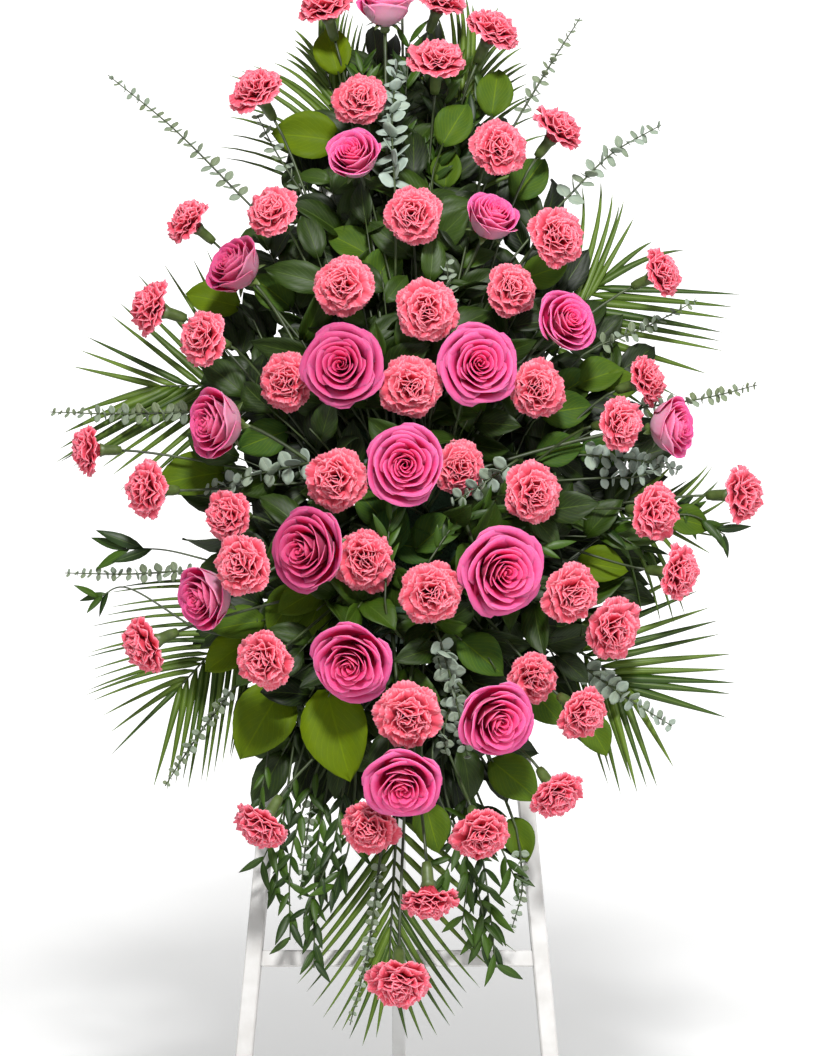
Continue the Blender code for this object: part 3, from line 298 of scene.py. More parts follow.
paints = {
    "carnation": carnationPaint(),
    "rose": rosePaint("rose petals", colour(240, 2, 80), colour(248, 16, 98), colour(248, 44, 124),
                      colour(250, 112, 168)),
    "roseBack": rosePaint("rose petal backs", colour(238, 184, 184), colour(226, 98, 136),
                          colour(226, 84, 130), colour(244, 132, 172), blush=0.7),
    "stem": speckledPaint("stems", 0.5, 45.0, 3.0, colour(30, 42, 12), colour(62, 80, 28),
                          (0.2, 0.0004), finer=400.0),
    "calyx": speckledPaint("calyx", 0.48, 70.0, 3.0, colour(56, 74, 24), colour(98, 118, 56),
                           (0.2, 0.0004), finer=300.0, to=0.75),
    "palm": leafPaint("palm leaflets", colour(46, 72, 14), colour(100, 126, 36), colour(134, 154, 70),
                      0.42, 0, 0.06),
    "broad": leafPaint("broad leaves", colour(40, 76, 36), colour(98, 118, 0), colour(114, 138, 4),
                       0.56, 9, 0.03, 0.07),
    # inner leaves: the near-black dark end is partly their own deep green and partly painted shade deep
    # inside the spray
    "filler": leafPaint("inner leaves", colour(10, 24, 2), colour(60, 88, 8), colour(86, 110, 30),
                        0.52, 8, 0.03),
    "eucalyptus": leafPaint("eucalyptus leaves", colour(118, 130, 92), colour(172, 188, 176),
                            colour(180, 190, 160), 0.6, 0, 0.05),
    "ruscus": leafPaint("ruscus leaves", colour(22, 46, 6), colour(66, 98, 18), colour(98, 124, 46),
                        0.46, 0, 0.04),
    "white": whitePaint("white painted wood", colour(196, 193, 189), colour(219, 218, 216)),
    # the rear leg's white is painted paler than the front legs' white: painted light that offsets the shade
    # the flowers cast on it
    "pale": whitePaint("white paint with painted light for the rear leg", colour(236, 235, 232), colour(246, 246, 245)),
    "foam": speckledPaint("wet foam", 0.9, 500.0, 5.0, colour(16, 40, 22), colour(46, 84, 50), (0.8, 0.0015)),
    "cage": speckledPaint("green plastic", 0.36, 260.0, 2.0, colour(18, 44, 24), colour(28, 60, 34),
                          (0.2, 0.0004), vary=0.14),
    "steel": speckledPaint("zinc plated steel", 0.26, 180.0, 3.0, colour(150, 150, 152),
                           colour(196, 196, 192), (0.15, 0.0003), vary=0.22, Metallic=0.95),
}
print("paints mixed:", len(paints))


# Working with pieces

def pick(*objs):
    bpy.ops.object.select_all(action="DESELECT")
    for obj in objs:
        obj.select_set(True)
    bpy.context.view_layer.objects.active = objs[-1]


def grid(name, across, along):
    bpy.ops.object.select_all(action="DESELECT")
    bpy.ops.mesh.primitive_grid_add(x_subdivisions=across, y_subdivisions=along, size=2)
    made = bpy.context.object
    made.name = name
    return made


def pointsOf(obj):
    places = np.empty(len(obj.data.vertices) * 3)
    obj.data.vertices.foreach_get("co", places)
    return places.reshape(-1, 3)


def placePoints(obj, places):
    obj.data.vertices.foreach_set("co", places.ravel())
    obj.data.update()


# Moves every point by a rule of its place across (-1 to 1) and along (0 to 1)
def shape(obj, rule):
    places = pointsOf(obj)
    placePoints(obj, np.stack(rule(places[:, 0], (places[:, 1] + 1) / 2), axis=1))
    return obj


def mark(obj, name, value):
    data = obj.data.attributes.get(name) or obj.data.attributes.new(name, "FLOAT", "POINT")
    data.data.foreach_set("value", np.full(len(obj.data.vertices), value, np.float32))


def copyOf(obj, place=None, **marks):
    made = obj.copy()
    made.data = obj.data.copy()
    bpy.context.scene.collection.objects.link(made)
    if place:
        made.data.transform(place)
    for name, value in marks.items():
        mark(made, name, value)
    return made


def joined(name, objs):
    pick(*objs)
    if len(objs) > 1:
        bpy.ops.object.join()
    made = bpy.context.object
    made.name = made.data.name = name
    return made


def thicken(obj, thickness, backPaint=0):
    pick(obj)
    bpy.ops.object.modifier_add(type="SOLIDIFY")
    solid = obj.modifiers[-1]
    solid.thickness = thickness
    solid.material_offset = backPaint
    solid.offset = 0
    solid.use_even_offset = False
    bpy.ops.object.modifier_apply(modifier=solid.name)
    bpy.ops.object.shade_smooth()
    return obj


def paintWith(obj, paint):
    obj.data.materials.clear()
    obj.data.materials.append(paints[paint])
    return obj


def dropped(*objs):
    for obj in objs:
        bpy.data.objects.remove(obj, do_unlink=True)


def handOver(obj, slot, *nodes):
    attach(obj, "frame")
    if nodes:
        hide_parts(*nodes)


# One mesh of round stems, each a list of points and the radii at its ends
def stemBundle(name, stems, paint, sides=1):
    data = bpy.data.curves.new(name, "CURVE")
    data.dimensions = "3D"
    data.bevel_depth = 1.0
    data.bevel_resolution = sides
    data.use_fill_caps = True
    for points, first, last in stems:
        line = data.splines.new("POLY")
        line.points.add(len(points) - 1)
        for number, (place, point) in enumerate(zip(line.points, points)):
            place.co = (*point, 1)
            place.radius = first + (last - first) * number / (len(points) - 1)
    curve = bpy.data.objects.new(name, data)
    bpy.context.scene.collection.objects.link(curve)
    pick(curve)
    bpy.ops.object.convert(target="MESH")
    made = bpy.context.object
    bpy.ops.object.mode_set(mode="EDIT")
    bpy.ops.mesh.select_all(action="SELECT")
    bpy.ops.mesh.remove_doubles(threshold=1e-6)
    bpy.ops.mesh.normals_make_consistent(inside=False)
    bpy.ops.object.mode_set(mode="OBJECT")
    bpy.ops.object.shade_smooth()
    return paintWith(made, paint)


# A round piece drawn up ring by ring from a filled circle
def drawUp(name, rings, sides):
    bpy.ops.object.select_all(action="DESELECT")
    radius, height = rings[0]
    bpy.ops.mesh.primitive_circle_add(vertices=sides, radius=radius, fill_type="NGON",
                                      location=(0, 0, height))
    made = bpy.context.object
    bpy.ops.object.transform_apply()
    bpy.ops.object.mode_set(mode="EDIT")
    bpy.ops.mesh.select_all(action="SELECT")
    for radiusNow, heightNow in rings[1:]:
        bpy.ops.mesh.extrude_region_move(TRANSFORM_OT_translate={"value": (0, 0, heightNow - height)})
        bpy.ops.transform.resize(value=(radiusNow / radius,) * 2 + (1,), center_override=(0, 0, heightNow))
        radius, height = radiusNow, heightNow
    bpy.ops.mesh.select_all(action="SELECT")
    bpy.ops.mesh.normals_make_consistent(inside=False)
    bpy.ops.object.mode_set(mode="OBJECT")
    bpy.ops.object.shade_smooth()
    made.name = name
    return made


def eased(t):
    t = np.clip(t, 0, 1)
    return t * t * (3 - 2 * t)


# The curve from a to c that b pulls on
def pulled(t, a, b, c):
    return (1 - t) ** 2 * a + 2 * (1 - t) * t * b + t * t * c


# A place so far out, to the side and up, turned about the flower's middle
def turned(out, side, up, turn):
    return out * math.cos(turn) - side * math.sin(turn), out * math.sin(turn) + side * math.cos(turn), up


def anyWay(rng, flat=False):
    return Vector((rng.uniform(-1, 1), 0 if flat else rng.uniform(-1, 1), rng.uniform(-1, 1)))


# Stems: how far they are sunk in the foam, spread and turned from each other in a bunch's root, and how
# far they keep their first and last headings, as a share of their length
stemRule = {"sunk": 0.006, "spread": 0.004, "turn": 2.4, "flower": 0.22, "sprig": 0.3, "palmLeave": 0.4}


def flowerStem(root, number, end, direction, first, last):
    mouth, outward = rootPlace(root)
    turn = number * stemRule["turn"]
    aside = stemRule["spread"] * Vector((math.cos(turn), 0, math.sin(turn)))
    start = mouth + aside - stemRule["sunk"] * outward
    span = (end - start).length
    keep = stemRule["flower"]
    return bend(start, outward * span * keep, end, direction * span * keep, 12), first, last


# A sprig's stem from the foam to where its leafy line starts
def leadIn(root, line, leave=stemRule["sprig"], sunk=stemRule["sunk"], count=10):
    mouth, outward = rootPlace(root)
    heading = (line[1] - line[0]).normalized()
    span = (line[0] - mouth).length
    arrive = heading * span * stemRule["sprig"]
    return bend(mouth - sunk * outward, outward * span * leave, line[0], arrive, count)


# Carnations. For each whorl: petals, how far out and up the tips are, how far out and up the petal
# bends, its width and how deep its frill is, all as shares of the head's radius, and its folds
carnation = {
    "radius": 0.0335, "variants": 6, "across": (16, 14, 14, 12, 10, 8), "along": 4, "thickness": 0.0005,
    "tooth": 0.019, "base": (0.07, -0.42), "stray": 0.12, "neck": 1.15, "stem": (0.0017, 0.0016),
    "whorls": [(9, 1.0, -0.04, 0.42, 0.16, 1.02, 0.055, 2.3), (8, 0.9, 0.2, 0.32, 0.22, 1.0, 0.08, 2.0),
               (7, 0.7, 0.4, 0.22, 0.26, 0.96, 0.125, 1.7), (6, 0.46, 0.54, 0.14, 0.28, 0.9, 0.15, 1.4),
               (5, 0.24, 0.6, 0.06, 0.3, 0.8, 0.15, 1.2), (3, 0.07, 0.6, 0.02, 0.3, 0.5, 0.11, 1.0)],
    "calyx": [(0.06, -1.2), (0.15, -1.17), (0.19, -0.95), (0.2, -0.55), (0.27, -0.38), (0.12, -0.3)],
}
# photo x, photo y, how far it faces right and up in degrees, depth added, size
carnationGroups = {
    "top": (("top", 0.0, 0.06), [
        (326, 8, -25, 55, -0.012, 1.0), (440, 2, 35, 55, -0.024, 0.95),
        (492, 32, 40, 50, 0.0, 1.0), (437, 62, 5, 50, 0.01, 1.0), (400, -72, -5, 70, 0.0, 0.95)]),
    "upper_left": (("front", -0.04, 0.095), [
        (257, 92, -35, 40, 0.0, 1.0), (360, 100, -10, 15, -0.01, 0.95),
        (272, 213, -25, 20, 0.0, 0.93), (190, 222, -60, 35, -0.015, 0.9)]),
    "upper_right": (("front", 0.04, 0.095), [
        (557, 131, 55, 45, -0.02, 0.95), (498, 148, 15, 10, 0.005, 1.0),
        (556, 237, 30, 8, 0.0, 1.05), (660, 274, 60, 20, 0.0, 0.9)]),
    "middle_high": (("front", 0.019, 0.057), [
        (413, 216, 0, 5, 0.0, 1.0), (343, 286, -8, 5, 0.0, 1.0),
        (427, 311, 3, 3, 0.01, 1.05), (510, 290, 25, 5, -0.02, 0.93)]),
    "left": (("left", 0.057, 0.06), [
        (153, 308, -65, 15, -0.005, 1.0), (204, 338, -40, 8, 0.0, 0.98),
        (90, 450, -72, 0, -0.01, 0.88), (148, 490, -50, 0, -0.005, 0.98)]),
    "middle": (("front", 0.019, 0.019), [
        (287, 382, -22, 0, -0.045, 1.0), (411, 387, 0, 0, -0.015, 1.05), (337, 479, -12, 0, -0.005, 1.02),
        (537, 390, 22, 0, -0.04, 1.0), (458, 468, 15, 0, -0.05, 0.95), (532, 493, 25, 0, 0.0, 1.02)]),
    "right": (("right", 0.019, 0.06), [
        (645, 381, 60, 15, -0.03, 0.9), (619, 425, 45, 0, 0.0, 0.92), (740, 495, 58, 0, 0.0, 1.0),
        (654, 512, 40, -5, 0.0, 1.0), (677, 573, 55, -5, -0.005, 0.95)]),
    "middle_low": (("front", 0.019, -0.057), [
        (364, 560, -8, -3, -0.035, 1.05), (432, 593, 5, -5, 0.0, 1.02), (408, 716, 0, -18, 0.0, 1.1)]),
    "lower_left": (("front", -0.043, -0.057), [
        (229, 516, -35, 0, -0.025, 0.9), (243, 565, -30, -5, 0.035, 1.02),
        (146, 645, -60, -20, -0.01, 0.98), (265, 659, -28, -15, 0.0, 1.0)]),
    "lower_right": (("front", 0.043, -0.057), [
        (571, 593, 30, -12, -0.015, 1.02), (612, 629, 35, -15, -0.045, 1.05),
        (531, 678, 25, -10, -0.05, 0.9), (582, 713, 40, -25, -0.01, 0.95)]),
    "bottom": (("bottom", 0.0, 0.06), [
        (262, 825, -40, -45, 0.0, 0.95), (556, 794, 35, -40, 0.0, 0.92), (369, 827, -15, -30, -0.045, 0.97),
        (480, 833, 15, -35, 0.0, 0.97), (429, 898, 10, -68, 0.0, 0.95), (399, 980, 0, -40, 0.0, 1.05)]),
}


def carnationPetal(blank, rng, whorl, turn):
    tipOut, tipUp, bendOut, bendUp, width, frill, folds = whorl[1:]
    baseOut, baseUp = carnation["base"]
    reach = rng.uniform(0.9, 1.04) * (1.12 if rng.random() < carnation["stray"] else 1)
    tipOut *= reach
    tipUp += rng.uniform(-0.08, 0.07)
    width *= rng.uniform(0.85, 1.15)
    folds *= rng.uniform(0.8, 1.25)
    frill *= rng.uniform(0.8, 1.3)
    start, sway = rng.uniform(0, 6.28), rng.uniform(-0.12, 0.12)
    cup = rng.uniform(-0.04, 0.1)

    def rule(u, v):
        t = v ** 0.72
        out, up = pulled(t, baseOut, bendOut, tipOut), pulled(t, baseUp, bendUp, tipUp)
        aheadOut = (1 - t) * (bendOut - baseOut) + t * (tipOut - bendOut)
        aheadUp = (1 - t) * (bendUp - baseUp) + t * (tipUp - bendUp)
        size = np.hypot(aheadOut, aheadUp)
        aheadOut, aheadUp = aheadOut / size, aheadUp / size
        side = u * 0.5 * width * (0.34 + 0.66 * eased(t)) + sway * t * t
        column = np.round((u + 1) / 2 * (len(np.unique(np.round(u, 3))) - 1))
        tooth = carnation["tooth"] * (1 - 2 * (column % 2)) * (v > 0.99)
        ahead = tooth - 0.24 * width * np.abs(u) ** 2.6 * t ** 2
        lift = frill * t ** 1.8 * np.sin(folds * math.pi * u + start)
        lift += 0.3 * frill * t ** 5 * np.sin(2.3 * folds * math.pi * u + 2 * start) + cup * u * u * t
        out = out + aheadOut * ahead - aheadUp * lift - side * side / (2 * np.maximum(out, 0.45))
        up = up + aheadUp * ahead + aheadOut * lift
        return turned(out, side, up, turn)

    return shape(copyOf(blank, ring=min(1, whorl[1]), tone=rng.random()), rule)


def carnationHead(number):
    rng = random.Random(200 + number)
    petals = []
    for whorl, across in zip(carnation["whorls"], carnation["across"]):
        blank = grid("petal blank", across, carnation["along"])
        first = rng.uniform(0, 6.28)
        for i in range(whorl[0]):
            turn = first + (i + rng.uniform(-0.2, 0.2)) * 2 * math.pi / whorl[0]
            petals.append(carnationPetal(blank, rng, whorl, turn))
        dropped(blank)
    head = joined("carnation head %d" % number, petals)
    thicken(head, carnation["thickness"] / carnation["radius"])
    return paintWith(head, "carnation")


def bloomPlace(values, radius, rng):
    pixelX, pixelY, right, up, deeper, size = values[:6]
    direction = facing(right, up)
    spin = Matrix.Rotation(rng.uniform(0, 2 * math.pi), 4, "Z")
    place = turnAlong(direction) @ spin @ Matrix.Scale(radius * size, 4)
    place.translation = spot(pixelX, pixelY, dome(pixelX, pixelY) + deeper)
    return place, direction


heads = []  # centre and radius of all that inner leaves keep clear of


def makeCarnations():
    rng = random.Random(5)
    variants = [carnationHead(number) for number in range(carnation["variants"])]
    cup = paintWith(drawUp("carnation calyx", carnation["calyx"], 8), "calyx")
    for group, (root, blooms) in carnationGroups.items():
        flowers, cups, stems = [], [], []
        for number, values in enumerate(blooms):
            radius = carnation["radius"] * values[5]
            place, direction = bloomPlace(values, carnation["radius"], rng)
            centre = place.translation.copy()
            flowers.append(copyOf(variants[rng.randrange(len(variants))], place))
            cups.append(copyOf(cup, place))
            heads.append((centre, radius))
            neck = centre - carnation["neck"] * radius * direction
            stems.append(flowerStem(root, number, neck, direction, *carnation["stem"]))
        handOver(joined("carnation_heads_" + group, flowers), "carnation_petals", "carnations_" + group)
        handOver(joined("carnation_cups_" + group, cups), "stems")
        handOver(stemBundle("carnation_stems_" + group, stems, "stem"), "stems")
    dropped(cup, *variants)
    print("carnations:", len(heads))


makeCarnations()

# Roses. For each whorl: petals, how far out the rims are and how far round a petal reaches to each
# side. For each look: how far the whole is open, the rim's height in the middle, half way and
# outside, and how far the lips roll. All as shares of the radius
rose = {
    "radius": 0.04, "across": 10, "along": 7, "thickness": 0.0005, "neck": 0.95, "stem": (0.0023, 0.0021),
    "whorls": [(3, 0.05, 1.8), (4, 0.13, 1.4), (5, 0.23, 1.2), (5, 0.35, 1.1), (5, 0.5, 1.1),
               (5, 0.68, 1.15), (5, 0.86, 1.15)],
    "looks": [(0.93, 0.24, 0.34, 0.02, 0.16), (0.91, 0.28, 0.36, 0.06, 0.15), (0.93, 0.2, 0.32, 0.04, 0.18),
              (0.8, 0.4, 0.42, 0.3, 0.13), (0.84, 0.36, 0.4, 0.24, 0.15)],
    "hip": [(0.05, -1.04), (0.12, -1.02), (0.17, -0.94), (0.15, -0.86), (0.2, -0.78), (0.14, -0.66)],
}
# The same values as for carnations, the bunch of stems, the looks to draw from and how far painted shade
# darkens it, most on the left side where less light falls
openLooks, turnedLooks = (0, 1, 2), (3, 4)
roses = {
    "rose_01": (385, 2, 0, 65, 0.0, 0.86, "high", turnedLooks, 0.0),
    "rose_02": (353, 154, -15, 25, 0.005, 0.88, "high", turnedLooks, 0.05),
    "rose_03": (493, 215, 25, 40, -0.005, 0.86, "high", turnedLooks, 0.0),
    "rose_04": (232, 264, -45, 30, 0.0, 0.92, "left", turnedLooks, 0.38),
    "rose_05": (570, 319, 28, 12, 0.0, 0.87, "right", openLooks, 0.0),
    "rose_06": (341, 365, -8, 3, 0.01, 1.08, "high", openLooks, 0.3),
    "rose_07": (480, 364, 10, 3, 0.01, 1.06, "right", openLooks, 0.08),
    "rose_08": (212, 423, -50, 0, 0.0, 1.0, "left", turnedLooks, 0.2),
    "rose_09": (676, 427, 58, 0, -0.01, 0.89, "right", turnedLooks, 0.0),
    "rose_10": (405, 465, 0, -3, 0.015, 1.04, "high", openLooks, 0.06),
    "rose_11": (304, 550, -35, -3, 0.015, 1.12, "left", openLooks, 0.31),
    "rose_12": (505, 573, 22, -8, 0.015, 1.15, "right", openLooks, 0.05),
    "rose_13": (202, 598, -48, -10, -0.005, 0.94, "left", turnedLooks, 0.18),
    "rose_14": (350, 665, -10, -18, 0.01, 1.06, "low", openLooks, 0.08),
    "rose_15": (499, 722, 22, -15, 0.01, 1.02, "low", openLooks, 0.0),
    "rose_16": (403, 788, 0, -28, 0.015, 1.0, "low", openLooks, 0.0),
}
roseRoots = {
    "high": ("front", -0.019, 0.095), "left": ("front", -0.043, 0.019),
    "right": ("front", 0.043, 0.057), "low": ("front", -0.019, -0.095),
}


def rosePetal(blank, rng, look, whorl, turn):
    opened, upMiddle, upHalf, upOutside, roll = look
    rim, wrap = whorl[1:]
    share = min(1, rim / 0.85)
    rim *= opened * rng.uniform(0.93, 1.06)
    rimUp = (1 - share) * (1 - 2 * share) * upMiddle + 4 * share * (1 - share) * upHalf
    rimUp += share * (2 * share - 1) * upOutside + rng.uniform(-0.04, 0.04)
    wrap *= rng.uniform(0.94, 1.06)
    lip = 0.02 + 1.15 * roll * share ** 0.9 * rng.uniform(0.7, 1.25)
    baseOut, belly = 0.04 + 0.12 * share, 0.03 + 0.08 * share + rim * (0.78 + 0.34 * share ** 2)
    drop = rng.uniform(0.05, 0.12)
    point = rng.uniform(0.01, 0.06) * (0.3 + 0.7 * share)
    lean, start = rng.uniform(-0.12, 0.12), rng.uniform(0, 6.28)

    def rule(u, v):
        outline = 1 - drop * u * u - 0.2 * u ** 6
        t = v * (outline + point * np.exp(-(u / 0.25) ** 2))
        out, up = pulled(t, baseOut, belly, rim), pulled(t, -0.8, -0.5, rimUp)
        curl = np.clip((v - 0.68) / 0.32, 0, 1) * np.clip(outline, 0, 1)
        sides = 0.95 + 0.45 * (u + lean) ** 2 - 0.95 * u ** 6
        out = out + lip * sides * curl ** 2 + (0.03 + 0.06 * share) * u * t
        out = out + (0.012 + 0.022 * share) * np.sin(3.4 * u + start) * t ** 4
        up = up - lip * 0.75 * sides * curl ** 3 + 0.022 * np.sin(4 * u + start) * t ** 3
        angle = turn + u * wrap * (0.42 + 0.58 * eased(t * 1.6))
        return out * np.cos(angle), out * np.sin(angle), up

    return shape(copyOf(blank, ring=share, tone=rng.random()), rule)


def roseHead(number):
    rng = random.Random(300 + number)
    blank = grid("petal blank", rose["across"], rose["along"])
    petals = []
    for whorl in rose["whorls"]:
        first = rng.uniform(0, 6.28)
        for i in range(whorl[0]):
            turn = first + (i + rng.uniform(-0.12, 0.12)) * 2 * math.pi / whorl[0]
            petals.append(rosePetal(blank, rng, rose["looks"][number], whorl, turn))
    dropped(blank)
    head = joined("rose head %d" % number, petals)
    paintWith(head, "roseBack")
    head.data.materials.append(paints["rose"])
    thicken(head, rose["thickness"] / rose["radius"], 1)
    return head


# Five narrow green sepals folded back under the flower
def roseSepals():
    blank = grid("sepal blank", 2, 6)
    sepals = []
    for i in range(5):
        turn = i * 2 * math.pi / 5

        def rule(u, v):
            side = u * 0.1 * np.sin(math.pi * np.clip(v * 0.88 + 0.1, 0, 1)) ** 0.8
            out = 0.15 + 0.5 * v
            up = -0.72 - 0.2 * v ** 2 + 0.1 * v + 0.3 * np.abs(side)
            return turned(out, side, up, turn)

        sepals.append(shape(copyOf(blank, tone=0.5), rule))
    dropped(blank)
    return thicken(joined("rose sepals", sepals), 0.012)


def makeRoses():
    rng = random.Random(9)
    variants = [roseHead(number) for number in range(len(rose["looks"]))]
    hip = joined("rose hip", [drawUp("hip", rose["hip"], 10), roseSepals()])
    paintWith(hip, "calyx")
    bunches, hips = {}, {}
    for name, values in roses.items():
        radius = rose["radius"] * values[5]
        place, direction = bloomPlace(values, rose["radius"], rng)
        centre = place.translation.copy()
        # the last value is how far painted shade darkens this rose
        bunch, looks, shade = values[6:]
        head = copyOf(variants[rng.choice(looks)], place, shade=shade)
        head.name = head.data.name = "rose_head_" + name[-2:]
        handOver(head, "rose_petals", name)
        heads.append((centre, radius))
        hips.setdefault(bunch, []).append(copyOf(hip, place))
        stems = bunches.setdefault(bunch, [])
        neck = centre - rose["neck"] * radius * direction
        stems.append(flowerStem(roseRoots[bunch], len(stems), neck, direction, *rose["stem"]))
    for bunch, stems in bunches.items():
        handOver(joined("rose_cups_" + bunch, hips[bunch]), "stems")
        handOver(stemBundle("rose_stalks_" + bunch, stems, "stem"), "stems", "rose_stems_" + bunch)
    dropped(hip, *variants)
    print("roses:", len(roses))


makeRoses()

# Palm fronds: root, depth, rib from the first leaflet to the end, and for each side of it the line that
# the tips keep to from the rib's start to its end, the leaflets there, their width and how far they
# first follow the rib before they turn out to their tips
palmLeaflet = {"across": 2, "along": 8, "thickness": 0.0004, "stray": 0.003, "back": 0.006, "sunk": 0.01}
lineSteps = 60
palms = {
    "left_high": (("left", 0.057, 0.013), 0.022, [(285, 400), (225, 387), (156, 386)],
        ([(215, 248), (176, 254), (130, 285), (107, 307), (82, 344), (67, 371)], 10, 0.009, 0.02),
        ([(185, 500), (146, 498), (104, 480), (67, 466), (55, 456), (76, 406)], 14, 0.0112, 0.02)),
    "left_low": (("left", -0.057, 0.013), 0.026, [(268, 585), (222, 640), (177, 690)],
        ([(122, 580), (97, 613), (91, 648), (87, 680), (92, 706), (115, 769)], 16, 0.0068, -0.14),
        ([(236, 762), (224, 770), (208, 779), (190, 787), (170, 793), (150, 792)], 11, 0.008, -0.03)),
    "top_left": (("top", -0.036, 0.013), 0.022, [(385, 250), (352, 150), (322, 60)],
        ([(222, 165), (222, 125), (232, 72), (268, 62), (291, 49), (297, 27)], 15, 0.0076, 0.22),
        ([(392, 130), (382, 70), (366, 30), (352, 10), (342, -8), (325, -25)], 15, 0.0076, 0.22)),
    "top_right": (("top", 0.036, 0.013), 0.044, [(425, 235), (445, 150), (472, 66)],
        ([(400, 130), (405, 80), (415, 30), (440, 0), (460, -10), (475, 7)], 13, 0.0076, 0.22),
        ([(560, 180), (542, 107), (530, 80), (527, 60), (515, 30), (495, 0)], 14, 0.0076, 0.22)),
    "right_high": (("right", 0.057, 0.013), 0.02, [(548, 352), (575, 318), (597, 284)],
        ([(575, 178), (600, 187), (618, 204), (628, 206), (652, 236), (698, 262)], 8, 0.0082, 0.24),
        ([(640, 420), (687, 386), (722, 352), (728, 332), (733, 310), (736, 290)], 9, 0.0112, 0.0)),
    "right_middle": (("right", 0.019, 0.013), 0.042, [(600, 500), (640, 515), (672, 530)],
        ([(640, 440), (694, 478), (713, 465), (735, 500)], 8, 0.007, 0.1),
        ([(640, 620), (681, 628), (720, 543), (735, 520)], 9, 0.007, 0.1)),
    "right_low": (("right", -0.057, 0.013), 0.022, [(555, 635), (595, 662), (630, 690)],
        ([(690, 560), (711, 596), (726, 628), (733, 660), (737, 692), (724, 723)], 10, 0.0098, 0.0),
        ([(604, 778), (614, 787), (628, 791), (641, 791), (655, 789), (687, 766)], 8, 0.0096, 0.0)),
    "bottom": (("bottom", -0.03, 0.013), 0.026, [(398, 800), (393, 890), (389, 965)],
        ([(300, 930), (293, 974), (308, 998), (328, 1024), (351, 1039), (378, 1043)], 12, 0.0076, 0.06),
        ([(510, 890), (512, 945), (480, 993), (462, 1017), (437, 1040), (400, 1043)], 12, 0.0078, 0.06)),
}


# Lays a flat blade (unit wide each side, unit long) along a curve from start to end
def layBlade(blank, start, leave, end, halfWidth, face, tone):
    blade = copyOf(blank, tone=tone)
    flat = pointsOf(blade)
    s, e, c = np.array(start), np.array(end), np.array(start + leave)
    t = flat[:, 1:2]
    ahead = (1 - t) * (c - s) + t * (e - c)
    ahead /= np.linalg.norm(ahead, axis=1, keepdims=True)
    side = np.cross(ahead, np.array(face))
    side /= np.linalg.norm(side, axis=1, keepdims=True)
    normal = np.cross(side, ahead)
    placePoints(blade, pulled(t, s, c, e) + flat[:, :1] * halfWidth * side + flat[:, 2:] * halfWidth * normal)
    return blade


# Closes a bunch's blades, adds their stems and hands the piece over
def handLeaves(name, paint, blades, thickness, stems, slot, *nodes, sides=1):
    leaf = paintWith(thicken(joined("leaves", blades), thickness), paint)
    rod = stemBundle("stems", stems, "stem", sides)
    handOver(joined(name, [rod, leaf]), slot, *nodes)


def makePalms():
    rng = random.Random(21)

    def rule(u, v):
        side = u * np.clip(np.minimum(v * 9 + 0.3, 1.25 * (1 - v) ** 0.75), 0, 1)
        return side, v, -0.28 * np.abs(side)

    blank = shape(grid("leaflet", palmLeaflet["across"], palmLeaflet["along"]), rule)
    for name, (root, depth, rib, *sides) in palms.items():
        ribLine = softPath([spot(x, y, depth) for x, y in rib], lineSteps)
        blades = []
        for tips, count, width, sweep in sides:
            tipLine = softPath([spot(x, y, depth - palmLeaflet["back"]) for x, y in tips], lineSteps)
            for i in range(count):
                share = (i + 0.5 + rng.uniform(-0.1, 0.1)) / count
                start = ribLine[round(lineSteps * share ** 0.9)]
                reach = rng.uniform(0.93, 1.03)
                at = round(lineSteps * share)
                end = start + (tipLine[at] - start) * reach
                end += anyWay(rng, flat=True) * palmLeaflet["stray"]
                end -= slopeOut * rng.uniform(-0.008, 0.008)
                heading = ribLine[min(lineSteps, at + 3)] - ribLine[max(0, at - 3)]
                length = (end - start).length
                leave = (0.46 * (end - start).normalized() + sweep * heading.normalized()) * length
                leave += slopeOut * length * rng.uniform(0.02, 0.07)
                face = (slopeOut + 0.35 * anyWay(rng, flat=True)).normalized()
                half = width / 2 * rng.uniform(0.8, 1.1) * min(1, length / 0.08 + 0.25)
                blades.append(layBlade(blank, start, leave, end, half, face, rng.random()))
        stalk = leadIn(root, ribLine, stemRule["palmLeave"], palmLeaflet["sunk"], 12)
        handLeaves("palm_frond_" + name, "palm", blades, palmLeaflet["thickness"],
                   [(stalk + ribLine[2::4], 0.003, 0.0009)], "palm_leaflets", "palm_" + name, sides=2)
    dropped(blank)
    print("palm fronds:", len(palms))


makePalms()

